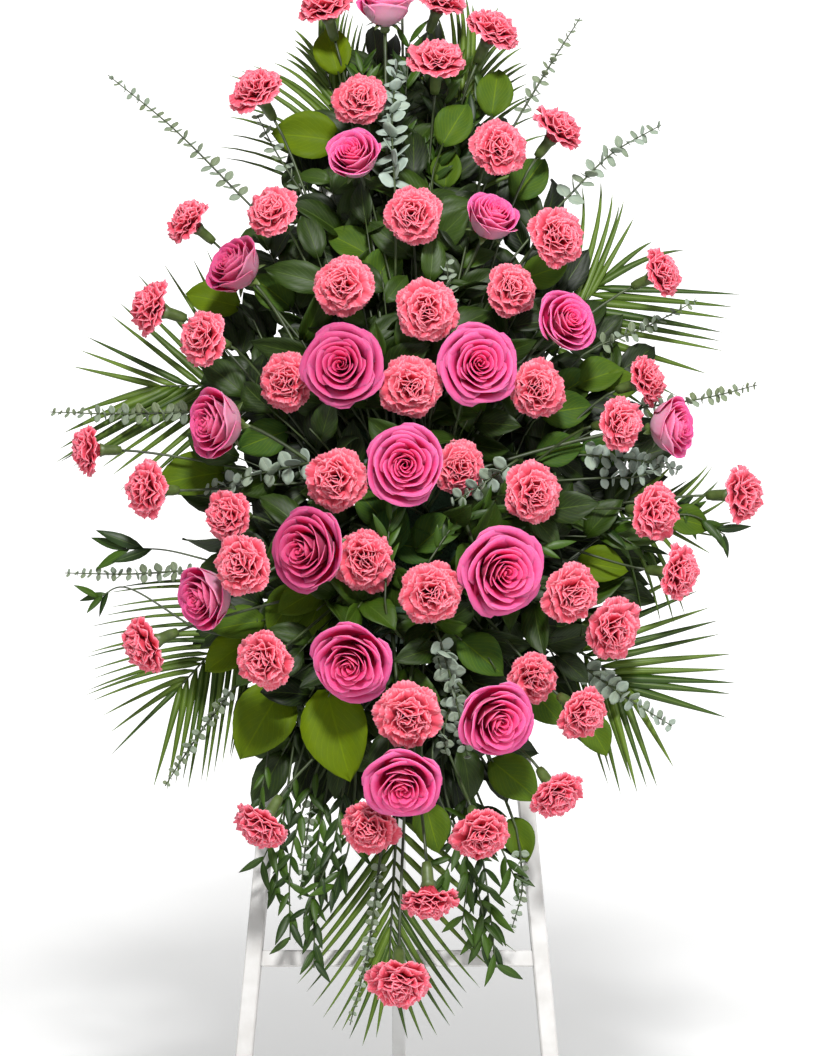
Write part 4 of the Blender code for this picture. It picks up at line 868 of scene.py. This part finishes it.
# Eucalyptus sprigs: points from the root side to the tip, depth at each end, pairs, leaf length and how
# silvery the leaves are. Inner leaves keep clear of the sprigs that start deeper in front than shown
sprigLeaf = {"across": 4, "along": 4, "thickness": 0.0004, "shown": 0.075}
eucalyptus = {
    "high_left": (("top", -0.018, 0.038), [
        ([(245, 200), (175, 130), (108, 75)], 0.05, 0.045, 20, 0.014, 0.35),
        ([(395, 190), (392, 120), (398, 60)], 0.15, 0.11, 21, 0.025, 1.1),
        ([(300, 190), (275, 150), (257, 115)], 0.065, 0.055, 9, 0.015, 0.5),
        ([(447, 305), (448, 285), (447, 262)], 0.15, 0.14, 7, 0.014, 0.6)]),
    "high_right": (("top", 0.018, 0.038), [
        ([(520, 115), (552, 62), (580, 18)], 0.06, 0.05, 15, 0.012, 0.35),
        ([(565, 200), (610, 155), (661, 125)], 0.06, 0.055, 14, 0.018, 0.6)]),
    "left": (("left", 0.019, 0.038), [
        ([(190, 412), (120, 414), (50, 412)], 0.052, 0.045, 19, 0.014, 0.3),
        ([(195, 570), (130, 574), (65, 573)], 0.052, 0.045, 17, 0.012, 0.4),
        ([(312, 462), (255, 475), (205, 490)], 0.12, 0.08, 12, 0.02, 0.8)]),
    "right": (("right", 0.057, 0.038), [
        ([(640, 408), (705, 398), (757, 385)], 0.06, 0.055, 16, 0.013, 0.2),
        ([(600, 345), (650, 325), (697, 300)], 0.055, 0.05, 14, 0.013, 0.4),
        ([(585, 455), (635, 460), (680, 470)], 0.085, 0.065, 14, 0.017, 1.0),
        ([(600, 478), (640, 476), (668, 462)], 0.08, 0.07, 9, 0.015, 1.0),
        ([(508, 466), (480, 486), (452, 502)], 0.17, 0.165, 8, 0.018, 0.8)]),
    "low": (("bottom", 0.018, 0.038), [
        ([(585, 668), (630, 700), (672, 726)], 0.058, 0.058, 13, 0.019, 0.8),
        ([(520, 850), (522, 890), (512, 928)], 0.06, 0.055, 11, 0.01, 0.5),
        ([(232, 690), (195, 740), (165, 786)], 0.055, 0.05, 15, 0.011, 0.4),
        ([(380, 860), (368, 950), (350, 1025)], 0.052, 0.052, 20, 0.01, 0.4),
        ([(440, 640), (455, 695), (468, 760)], 0.155, 0.125, 16, 0.018, 0.75),
        ([(452, 700), (444, 730), (446, 752)], 0.13, 0.12, 6, 0.015, 0.6),
        ([(312, 800), (305, 850), (300, 900)], 0.05, 0.05, 12, 0.011, 0.5)]),
}


def makeEucalyptus():
    rng = random.Random(33)

    def rule(u, v):
        side = u * 0.96 * np.sin(math.pi * np.clip(0.04 + 0.92 * v, 0, 1)) ** 0.75
        return side, v, 0.18 * side * side - 0.1 * np.sin(math.pi * v)

    blank = shape(grid("eucalyptus leaf", sprigLeaf["across"], sprigLeaf["along"]), rule)
    for name, (root, sprigs) in eucalyptus.items():
        leaves, stems = [], []
        for pixels, first, last, pairs, length, silver in sprigs:
            depths = (first, (first + last) / 2, last)
            line = softPath([spot(x, y, depth) for (x, y), depth in zip(pixels, depths)], lineSteps)
            stems.append((leadIn(root, line) + line[3::3], 0.0019, 0.0006))
            for i in range(pairs):
                at = 2 + round((lineSteps - 4) * i / (pairs - 1))
                ahead = (line[at + 1] - line[at - 1]).normalized()
                size = length * (1 - 0.55 * (i / pairs) ** 1.5) * rng.uniform(0.85, 1.1)
                if first > sprigLeaf["shown"]:
                    heads.append((line[at], 0.6 * size))
                turn = (i % 2) * 1.3 + rng.uniform(-0.7, 0.7)
                for flip in (0, math.pi):
                    out = Matrix.Rotation(turn + flip, 3, ahead) @ ahead.cross(slopeOut).normalized()
                    out = (out + 0.3 * ahead).normalized()
                    face = ahead * 0.6 + slopeOut * rng.uniform(0.6, 1.3)
                    face = (face - face.dot(out) * out).normalized()
                    leaves.append(layBlade(blank, line[at], out * size * 0.5, line[at] + out * size,
                                           size * 0.48, face, silver + rng.uniform(-0.25, 0.25)))
        handLeaves("eucalyptus_sprigs_" + name, "eucalyptus", leaves, sprigLeaf["thickness"], stems,
                   "eucalyptus_leaves", "eucalyptus_" + name)
    dropped(blank)
    print("eucalyptus bunches:", len(eucalyptus))


makeEucalyptus()

# Broad leaves: photo place of the middle, its direction in degrees (0 right, 90 up), depth, length and
# how light it is: partly the leaf's own green, from dark to lime, and partly painted light and shade, darker
# for leaves deep by the foam and lighter for lit ones
broadLeaves = {
    "high": (("front", 0.019, 0.095), [
        (305, 137, 172, 0.055, 0.08, 0.85), (332, 50, 105, 0.055, 0.062, 1.0),
        (495, 92, 82, 0.085, 0.06, 0.45), (455, 124, 60, 0.1, 0.06, 0.35), (530, 178, 55, 0.06, 0.062, 0.2),
        (350, 245, 150, 0.085, 0.062, 0.3), (384, 268, 60, 0.105, 0.062, 0.2),
        (447, 168, 85, 0.08, 0.05, 0.4), (545, 272, 20, 0.075, 0.055, 0.4)]),
    "left": (("left", -0.019, 0.05), [
        (212, 300, 165, 0.06, 0.064, 0.8), (190, 478, 190, 0.055, 0.078, 0.6),
        (272, 292, 140, 0.075, 0.058, 0.2), (262, 440, 200, 0.08, 0.06, 0.1),
        (285, 610, 235, 0.085, 0.062, 0.5), (228, 655, 215, 0.05, 0.062, 0.9),
        (238, 625, 190, 0.062, 0.058, 0.4), (312, 622, 250, 0.085, 0.056, 0.6),
        (392, 528, 75, 0.118, 0.062, 0.0), (372, 508, 130, 0.112, 0.055, 0.1)]),
    "right": (("right", -0.019, 0.05), [
        (600, 376, 20, 0.06, 0.06, 0.4), (568, 410, 10, 0.075, 0.06, 0.2),
        (603, 566, 350, 0.065, 0.058, 0.8), (690, 522, 345, 0.05, 0.05, 0.4),
        (560, 450, 15, 0.085, 0.055, 0.1), (545, 705, 310, 0.06, 0.056, 0.3),
        (622, 386, 10, 0.055, 0.05, 0.5), (596, 736, 300, 0.05, 0.05, 0.5),
        (436, 532, 40, 0.116, 0.06, 0.1), (418, 548, 350, 0.11, 0.055, 0.0),
        (573, 386, 35, 0.06, 0.058, 0.2), (602, 455, 350, 0.062, 0.055, 0.1)]),
    "low": (("front", 0.019, -0.095), [
        (262, 722, 240, 0.07, 0.094, 0.8), (338, 735, 285, 0.118, 0.102, 0.95),
        (515, 780, 320, 0.08, 0.066, 0.45), (482, 657, 320, 0.12, 0.062, 0.2),
        (432, 828, 285, 0.07, 0.056, 0.5), (300, 600, 210, 0.105, 0.056, 0.6),
        (520, 840, 290, 0.055, 0.05, 0.5)]),
}
broadLeaf = {"across": 6, "along": 9, "thickness": 0.0005, "halfWidth": 0.36}
innerLeaf = {"across": 4, "along": 5, "thickness": 0.0005, "length": 0.062, "halfWidth": 0.27,
             "from": 0.16, "looked": (0.3, 0.65, 1.0), "brighter": 0.1}


def broadBlank(across, along):
    def rule(u, v):
        side = u * np.sin(math.pi * np.clip(0.03 + 0.97 * v, 0, 1) ** 0.82) ** 0.85
        wave = 0.1 * np.sin(7 * v + 2 * u) * np.abs(u)
        return side, v, 0.42 * np.abs(side) + wave - 0.05

    return shape(grid("broad leaf", across, along), rule)


def makeBroadLeaves():
    rng = random.Random(41)
    blank = broadBlank(broadLeaf["across"], broadLeaf["along"])
    for name, (root, leaves) in broadLeaves.items():
        blades, stems = [], []
        mouth, outward = rootPlace(root)
        for pixelX, pixelY, turnDeg, depth, length, light in leaves:
            turn = math.radians(turnDeg)
            along = math.cos(turn) * toRight + math.sin(turn) * slopeUp
            middle = spot(pixelX, pixelY, depth)
            start, end = middle - 0.5 * length * along, middle + 0.5 * length * along
            heads.append((middle, length * 0.33))
            leave = 0.5 * length * along + 0.1 * length * slopeOut
            face = (slopeOut + 0.25 * anyWay(rng, flat=True)).normalized()
            blades.append(layBlade(blank, start, leave, end - 0.05 * length * slopeOut,
                                   length * broadLeaf["halfWidth"], face, light * 0.9 + 0.15))
            span = (start - mouth).length
            line = bend(mouth - stemRule["sunk"] * outward, outward * span * stemRule["sprig"],
                        start + 0.003 * along, along * span * 0.2, 8)
            stems.append((line, 0.0016, 0.0011))
        handLeaves("lemon_leaves_" + name, "broad", blades, broadLeaf["thickness"], stems,
                   "broad_leaves", "broad_leaves_" + name)
    dropped(blank)
    print("broad leaves set")


makeBroadLeaves()


# True where a leaf would stand in a flower or hide one, by shares of the flower's radius
clear = {"inside": 0.85, "before": 1.08}


def hidesFlower(point):
    for centre, radius in heads:
        away = point - centre
        sight = (centre - eye).normalized()
        across = away - away.dot(sight) * sight
        hides = away.dot(sight) < 0 and across.length < clear["before"] * radius
        if hides or away.length < clear["inside"] * radius:
            return True
    return False


# Leafy branches that fill the inside, from the foam out to the line where the leaves end in the
# photo. Each layer: branches, how far towards that line they reach, how far they rise to the
# flowers, how light their leaves are and how big. The back layers' leaves are darker: partly their own deep
# green, partly painted shade deep inside the spray
fillers = {
    "outline": [(405, 36), (430, 46), (455, 68), (482, 102), (516, 152), (552, 215), (578, 290), (622, 370),
                (650, 450), (640, 540), (612, 620), (566, 690), (516, 742), (470, 795), (400, 822),
                (330, 798), (284, 762), (256, 715), (236, 650), (220, 560), (212, 480), (216, 400),
                (224, 320), (248, 240), (288, 170), (328, 114), (354, 80), (380, 52)],
    "centre": (405, 530), "leafGap": 0.019, "depth": 0.04, "under": 0.042, "steps": 40,
    "rootDepth": 0.05, "rootHalf": (0.045, 0.1),
    "layers": {"back": [(23, 0.97, 0.0, 0.2, 1.0), (20, 0.9, 0.4, 0.25, 1.0), (13, 0.66, 0.05, 0.0, 1.45),
                        (8, 0.4, 0.1, 0.0, 1.45)],
               "middle": [(16, 0.74, 0.8, 0.4, 1.0), (12, 0.56, 1.0, 0.45, 1.0)],
               "front": [(9, 0.38, 1.0, 0.5, 1.0), (5, 0.18, 1.0, 0.5, 1.0)]},
    "single": {"depth": 0.03, "length": 0.064, "light": 0.1, "places": [
        (258, 314), (248, 323), (498, 189), (448, 778), (554, 285), (579, 541), (307, 773), (349, 789),
        (595, 489), (562, 688), (324, 784), (634, 558), (567, 553), (280, 489), (426, 746), (574, 271),
        (289, 749), (552, 563), (442, 795), (575, 532), (604, 333), (232, 321), (587, 421), (599, 542),
        (638, 432), (654, 452), (622, 578), (630, 594), (641, 482), (301, 165), (315, 161), (207, 498)]},
}


def innerLeaves(blank, rng, line, light, scale):
    length = sum((b - a).length for a, b in zip(line, line[1:]))
    first, last = innerLeaf["from"], fillers["steps"]
    steps = max(3, int(length * 0.86 / fillers["leafGap"]))
    blades = []
    for i in range(steps + 1):
        at = min(last - 1, max(1, round(last * (first + 0.84 * i / steps))))
        ahead = (line[at + 1] - line[at - 1]).normalized()
        side = ahead.cross(slopeOut)
        if side.length < 0.2:
            side = Matrix.Rotation(rng.uniform(0, 6.28), 3, ahead) @ ahead.orthogonal()
        side = Matrix.Rotation(rng.uniform(-0.6, 0.6), 3, ahead) @ side.normalized()
        way = (ahead * rng.uniform(0.5, 0.9) + side * (1 if i % 2 else -1)).normalized()
        if i == steps:
            way = ahead
        size = innerLeaf["length"] * scale * rng.uniform(0.65, 1.15)
        tip = line[at] + way * size
        face = (slopeOut + 0.7 * anyWay(rng)).normalized()
        tone = light + rng.uniform(-0.3, 0.3) + (0.35 if rng.random() < innerLeaf["brighter"] else 0)
        droop = rng.uniform(0, 0.25)
        if any(hidesFlower(line[at] + way * size * share) for share in innerLeaf["looked"]):
            continue
        leave = way * size * 0.5 + face * size * 0.08
        blades.append(layBlade(blank, line[at], leave, tip - face * size * droop,
                               size * innerLeaf["halfWidth"], face, tone))
    return blades


# Single dark leaves at the very back that close what the branches leave open; their darkness is partly
# painted shade
def backLeaves(blank):
    rng = random.Random(58)
    single = fillers["single"]
    centre = spot(*fillers["centre"], single["depth"])
    root = onSlope(0, foam["up"], single["depth"])
    blades, stems = [], []
    for x, y in single["places"]:
        middle = spot(x, y, single["depth"])
        along = (middle - centre).normalized()
        half = 0.5 * single["length"] * along
        start, end = middle - half, middle + half
        face = (slopeOut + 0.3 * anyWay(rng)).normalized()
        blades.append(layBlade(blank, start, half, end, single["length"] * innerLeaf["halfWidth"], face,
                               single["light"] + rng.uniform(-0.1, 0.2)))
        keep = along * (start - root).length * stemRule["sprig"]
        stems.append((bend(root, keep, start + 0.003 * along, keep, 8), 0.0013, 0.0008))
    return blades, stems


def makeFillers():
    rng = random.Random(57)
    blank = broadBlank(innerLeaf["across"], innerLeaf["along"])
    closed = fillers["outline"] + fillers["outline"][:1]
    edge = softPath([Vector((x, y, 0)) for x, y in closed], 240)
    centre = Vector((*fillers["centre"], 0))
    total = 0
    for name, layers in fillers["layers"].items():
        blades, stems = [], []
        for layer, (count, reach, rise, light, scale) in enumerate(layers):
            for number in range(count):
                share = (number + rng.uniform(-0.3, 0.3) + 0.5 * (layer % 2)) / count % 1
                place = centre + (edge[round(239 * share)] - centre) * reach * rng.uniform(0.92, 1.04)
                top = dome(place.x, place.y) - fillers["under"]
                depth = fillers["depth"] + max(0, top - fillers["depth"]) * rise
                end = spot(place.x, place.y, depth)
                middle = onSlope(0, foam["up"], fillers["rootDepth"])
                away = end - middle
                across, up = away.dot(toRight), away.dot(slopeUp)
                fit = min(1, fillers["rootHalf"][0] / max(1e-6, abs(across)),
                          fillers["rootHalf"][1] / max(1e-6, abs(up)))
                start = middle + fit * (across * toRight + up * slopeUp)
                leave = (away + 0.4 * rise * away.length * slopeOut).normalized() * away.length * 0.35
                arrive = (away - 0.2 * away.length * slopeOut).normalized() * away.length * 0.25
                line = bend(start, leave, end, arrive, fillers["steps"])
                stems.append((line[::4], 0.0015, 0.0007))
                blades += innerLeaves(blank, rng, line, light, scale)
        if name == "back":
            moreBlades, moreStems = backLeaves(blank)
            blades += moreBlades
            stems += moreStems
        total += len(blades)
        handLeaves("inner_branches_" + name, "filler", blades, innerLeaf["thickness"], stems, "broad_leaves")
    dropped(blank)
    print("inner leaves:", total)


makeFillers()

# Ruscus: points from the root side to the tip, depth, leaves, where along it they start, their length
ruscusLeaf = {"across": 2, "along": 6, "thickness": 0.0004, "halfWidth": 0.125}
ruscus = {
    "left": (("left", -0.095, 0.028), [
        ([(330, 770), (316, 860), (314, 968)], 0.048, 19, 0.05, 0.036),
        ([(300, 760), (280, 820), (262, 862)], 0.052, 11, 0.1, 0.033),
        ([(215, 562), (165, 550), (122, 549)], 0.062, 4, 0.66, 0.05),
        ([(190, 625), (128, 588), (98, 598)], 0.06, 4, 0.8, 0.034),
        ([(320, 760), (292, 850), (290, 940)], 0.055, 16, 0.05, 0.035),
        ([(345, 780), (332, 850), (305, 915)], 0.06, 13, 0.05, 0.034),
        ([(290, 770), (280, 850), (276, 895)], 0.045, 11, 0.05, 0.033),
        ([(355, 790), (348, 850), (332, 890)], 0.05, 11, 0.05, 0.034),
        ([(270, 745), (262, 790), (258, 815)], 0.05, 7, 0.2, 0.03)]),
    "right": (("bottom", 0.044, 0.028), [
        ([(470, 790), (486, 880), (496, 968)], 0.048, 17, 0.05, 0.037),
        ([(440, 800), (466, 860), (462, 930)], 0.062, 13, 0.05, 0.034),
        ([(480, 800), (502, 850), (516, 880)], 0.055, 10, 0.05, 0.032),
        ([(450, 810), (480, 900), (482, 945)], 0.05, 13, 0.05, 0.035),
        ([(640, 520), (690, 515), (725, 535)], 0.055, 8, 0.3, 0.037),
        ([(430, 560), (455, 525), (490, 508)], 0.165, 10, 0.1, 0.032),
        ([(385, 600), (388, 540), (394, 500)], 0.17, 10, 0.1, 0.032),
        ([(480, 545), (510, 540), (545, 548)], 0.14, 9, 0.1, 0.032),
        ([(575, 515), (610, 530), (645, 552)], 0.08, 10, 0.1, 0.034),
        ([(470, 780), (458, 840), (440, 885)], 0.055, 11, 0.05, 0.032),
        ([(400, 210), (404, 120), (410, 40)], 0.072, 24, 0.1, 0.038),
        ([(425, 210), (440, 130), (452, 70)], 0.078, 20, 0.1, 0.038),
        ([(445, 210), (468, 140), (486, 88)], 0.07, 18, 0.1, 0.036),
        ([(385, 200), (368, 120), (362, 66)], 0.066, 20, 0.1, 0.036)]),
}


def makeRuscus():
    rng = random.Random(63)

    def rule(u, v):
        side = u * np.sin(math.pi * np.clip(0.02 + 0.96 * v, 0, 1) ** 0.8)
        return side, v, 0.35 * np.abs(side)

    blank = shape(grid("ruscus leaf", ruscusLeaf["across"], ruscusLeaf["along"]), rule)
    for name, (root, sprigs) in ruscus.items():
        leaves, stems = [], []
        for pixels, depth, count, first, leafLength in sprigs:
            line = softPath([spot(x, y, depth) for x, y in pixels], lineSteps)
            stems.append((leadIn(root, line) + line[3::3], 0.0018, 0.0007))
            for i in range(count):
                share = min(1, max(0, i + rng.uniform(-0.5, 0.5)) / (count - 1))
                at = 1 + round((lineSteps - 2) * (first + (1 - first) * share))
                ahead = (line[min(lineSteps, at + 1)] - line[at - 1]).normalized()
                side = ahead.cross(slopeOut).normalized() * (1 if i % 2 else -1)
                way = (ahead * rng.uniform(0.6, 2.6) + side * rng.uniform(0.5, 1.2)
                       + slopeOut * rng.uniform(-0.8, 0.9)).normalized()
                size = leafLength * rng.uniform(0.75, 1.15)
                face = (slopeOut + 0.5 * anyWay(rng)).normalized()
                leave = way * size * 0.5 + face * size * 0.06
                leaves.append(layBlade(blank, line[at], leave, line[at] + way * size,
                                       size * ruscusLeaf["halfWidth"], face, rng.random()))
        handLeaves("ruscus_stems_" + name, "ruscus", leaves, ruscusLeaf["thickness"], stems,
                   "ruscus_leaves", "ruscus_" + name)
    dropped(blank)
    print("ruscus set")


makeRuscus()

# The easel, the foam and its cage keep their own shapes
kept = {"white": ("left_leg", "right_leg", "crossbar", "hanging_rail", "head_board"), "pale": ("rear_leg",),
        "steel": ("hinge_bracket", "pivot_bolt"), "foam": ("foam_block",), "cage": ("foam_cage",)}
for finish, names in kept.items():
    for name in names:
        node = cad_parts[name]
        node.data.materials.clear()
        node.data.materials.append(paints[finish])

# The floor runs back and curves up into a pale wall. Floor and wall glow more the further back they lie:
# painted light that keeps the backdrop white
studio = {"floorFront": -6.0, "wallY": 9.5, "halfWidth": 9.0, "wallHeight": 6.0, "curve": 1.5, "segments": 16,
          "under": 0.0005, "glow": 0.5, "glowFrom": 0.45, "glowTo": 4.0, "white": (0.95, 0.95, 0.945, 1)}


def makeStudio():
    bpy.ops.object.select_all(action="DESELECT")
    bpy.ops.mesh.primitive_plane_add(size=2)
    floor = bpy.context.object
    floor.name = "studio floor"
    front, wall = studio["floorFront"], studio["wallY"]
    floor.data.transform(Matrix.Translation((0, (front + wall) / 2, -studio["under"]))
                         @ Matrix.Diagonal((studio["halfWidth"], (wall - front) / 2, 1, 1)))
    bpy.ops.object.mode_set(mode="EDIT")
    bpy.ops.mesh.select_all(action="DESELECT")
    bpy.ops.object.mode_set(mode="OBJECT")
    for edge in floor.data.edges:  # the far edge goes up as the wall
        edge.select = all(floor.data.vertices[v].co.y > wall - 0.01 for v in edge.vertices)
    bpy.ops.object.mode_set(mode="EDIT")
    bpy.ops.mesh.extrude_region_move(TRANSFORM_OT_translate={"value": (0, 0, studio["wallHeight"])})
    bpy.ops.object.mode_set(mode="OBJECT")
    bpy.ops.object.modifier_add(type="BEVEL")
    rounding = floor.modifiers[-1]
    rounding.width = studio["curve"]
    rounding.segments = studio["segments"]
    bpy.ops.object.modifier_apply(modifier=rounding.name)
    bpy.ops.object.shade_smooth()
    # painted light: the floor glows more from glowFrom back to glowTo and the wall
    paint = Paint("studio white", 0.9, Emission_Strength=studio["glow"])
    place = paint.node("ShaderNodeSeparateXYZ", {}, {0: paint.objectPlace()}, out=1)
    glow = paint.node("ShaderNodeMapRange", {"interpolation_type": "SMOOTHSTEP"},
                      {0: place, 1: studio["glowFrom"], 2: studio["glowTo"]})
    paint.plug(paint.shader.inputs["Emission Color"], glow)
    floor.data.materials.append(paint.finish(studio["white"]))


makeStudio()


def areaLight(name, place, aim, size, power):
    data = bpy.data.lights.new(name, "AREA")
    data.shape = "DISK"
    data.size = size
    data.energy = power
    lamp = bpy.data.objects.new(name, data)
    bpy.context.scene.collection.objects.link(lamp)
    lamp.location = place
    lamp.rotation_euler = (Vector(aim) - Vector(place)).to_track_quat("-Z", "Y").to_euler()


# For each light: its place, where it points, its size and its power
lights = {"key": ((0.1, -2.5, 2.45), (0, -0.2, 0.8), 0.4, 130),
          "side": ((2.4, -1.6, 1.5), (0, -0.2, 0.7), 1.4, 27)}
skyStrength = 0.56
for name, values in lights.items():
    areaLight(name, *values)

world = bpy.data.worlds.new("studio")
bpy.context.scene.world = world
world.use_nodes = True
sky = world.node_tree.nodes["Background"]
sky.inputs["Color"].default_value = (1, 1, 1, 1)
sky.inputs["Strength"].default_value = skyStrength

camera = bpy.data.objects.new("camera", bpy.data.cameras.new("camera"))
bpy.context.scene.collection.objects.link(camera)
camera.location = eye
camera.rotation_euler = (math.radians(90), 0, 0)
camera.data.sensor_fit = "HORIZONTAL"
viewWidth = photo["width"] * photo["metresPerPixel"]
camera.data.lens = camera.data.sensor_width * photo["eyeDistance"] / viewWidth
bpy.context.scene.camera = camera
bpy.context.scene.view_settings.view_transform = "Standard"
print("studio and camera set")
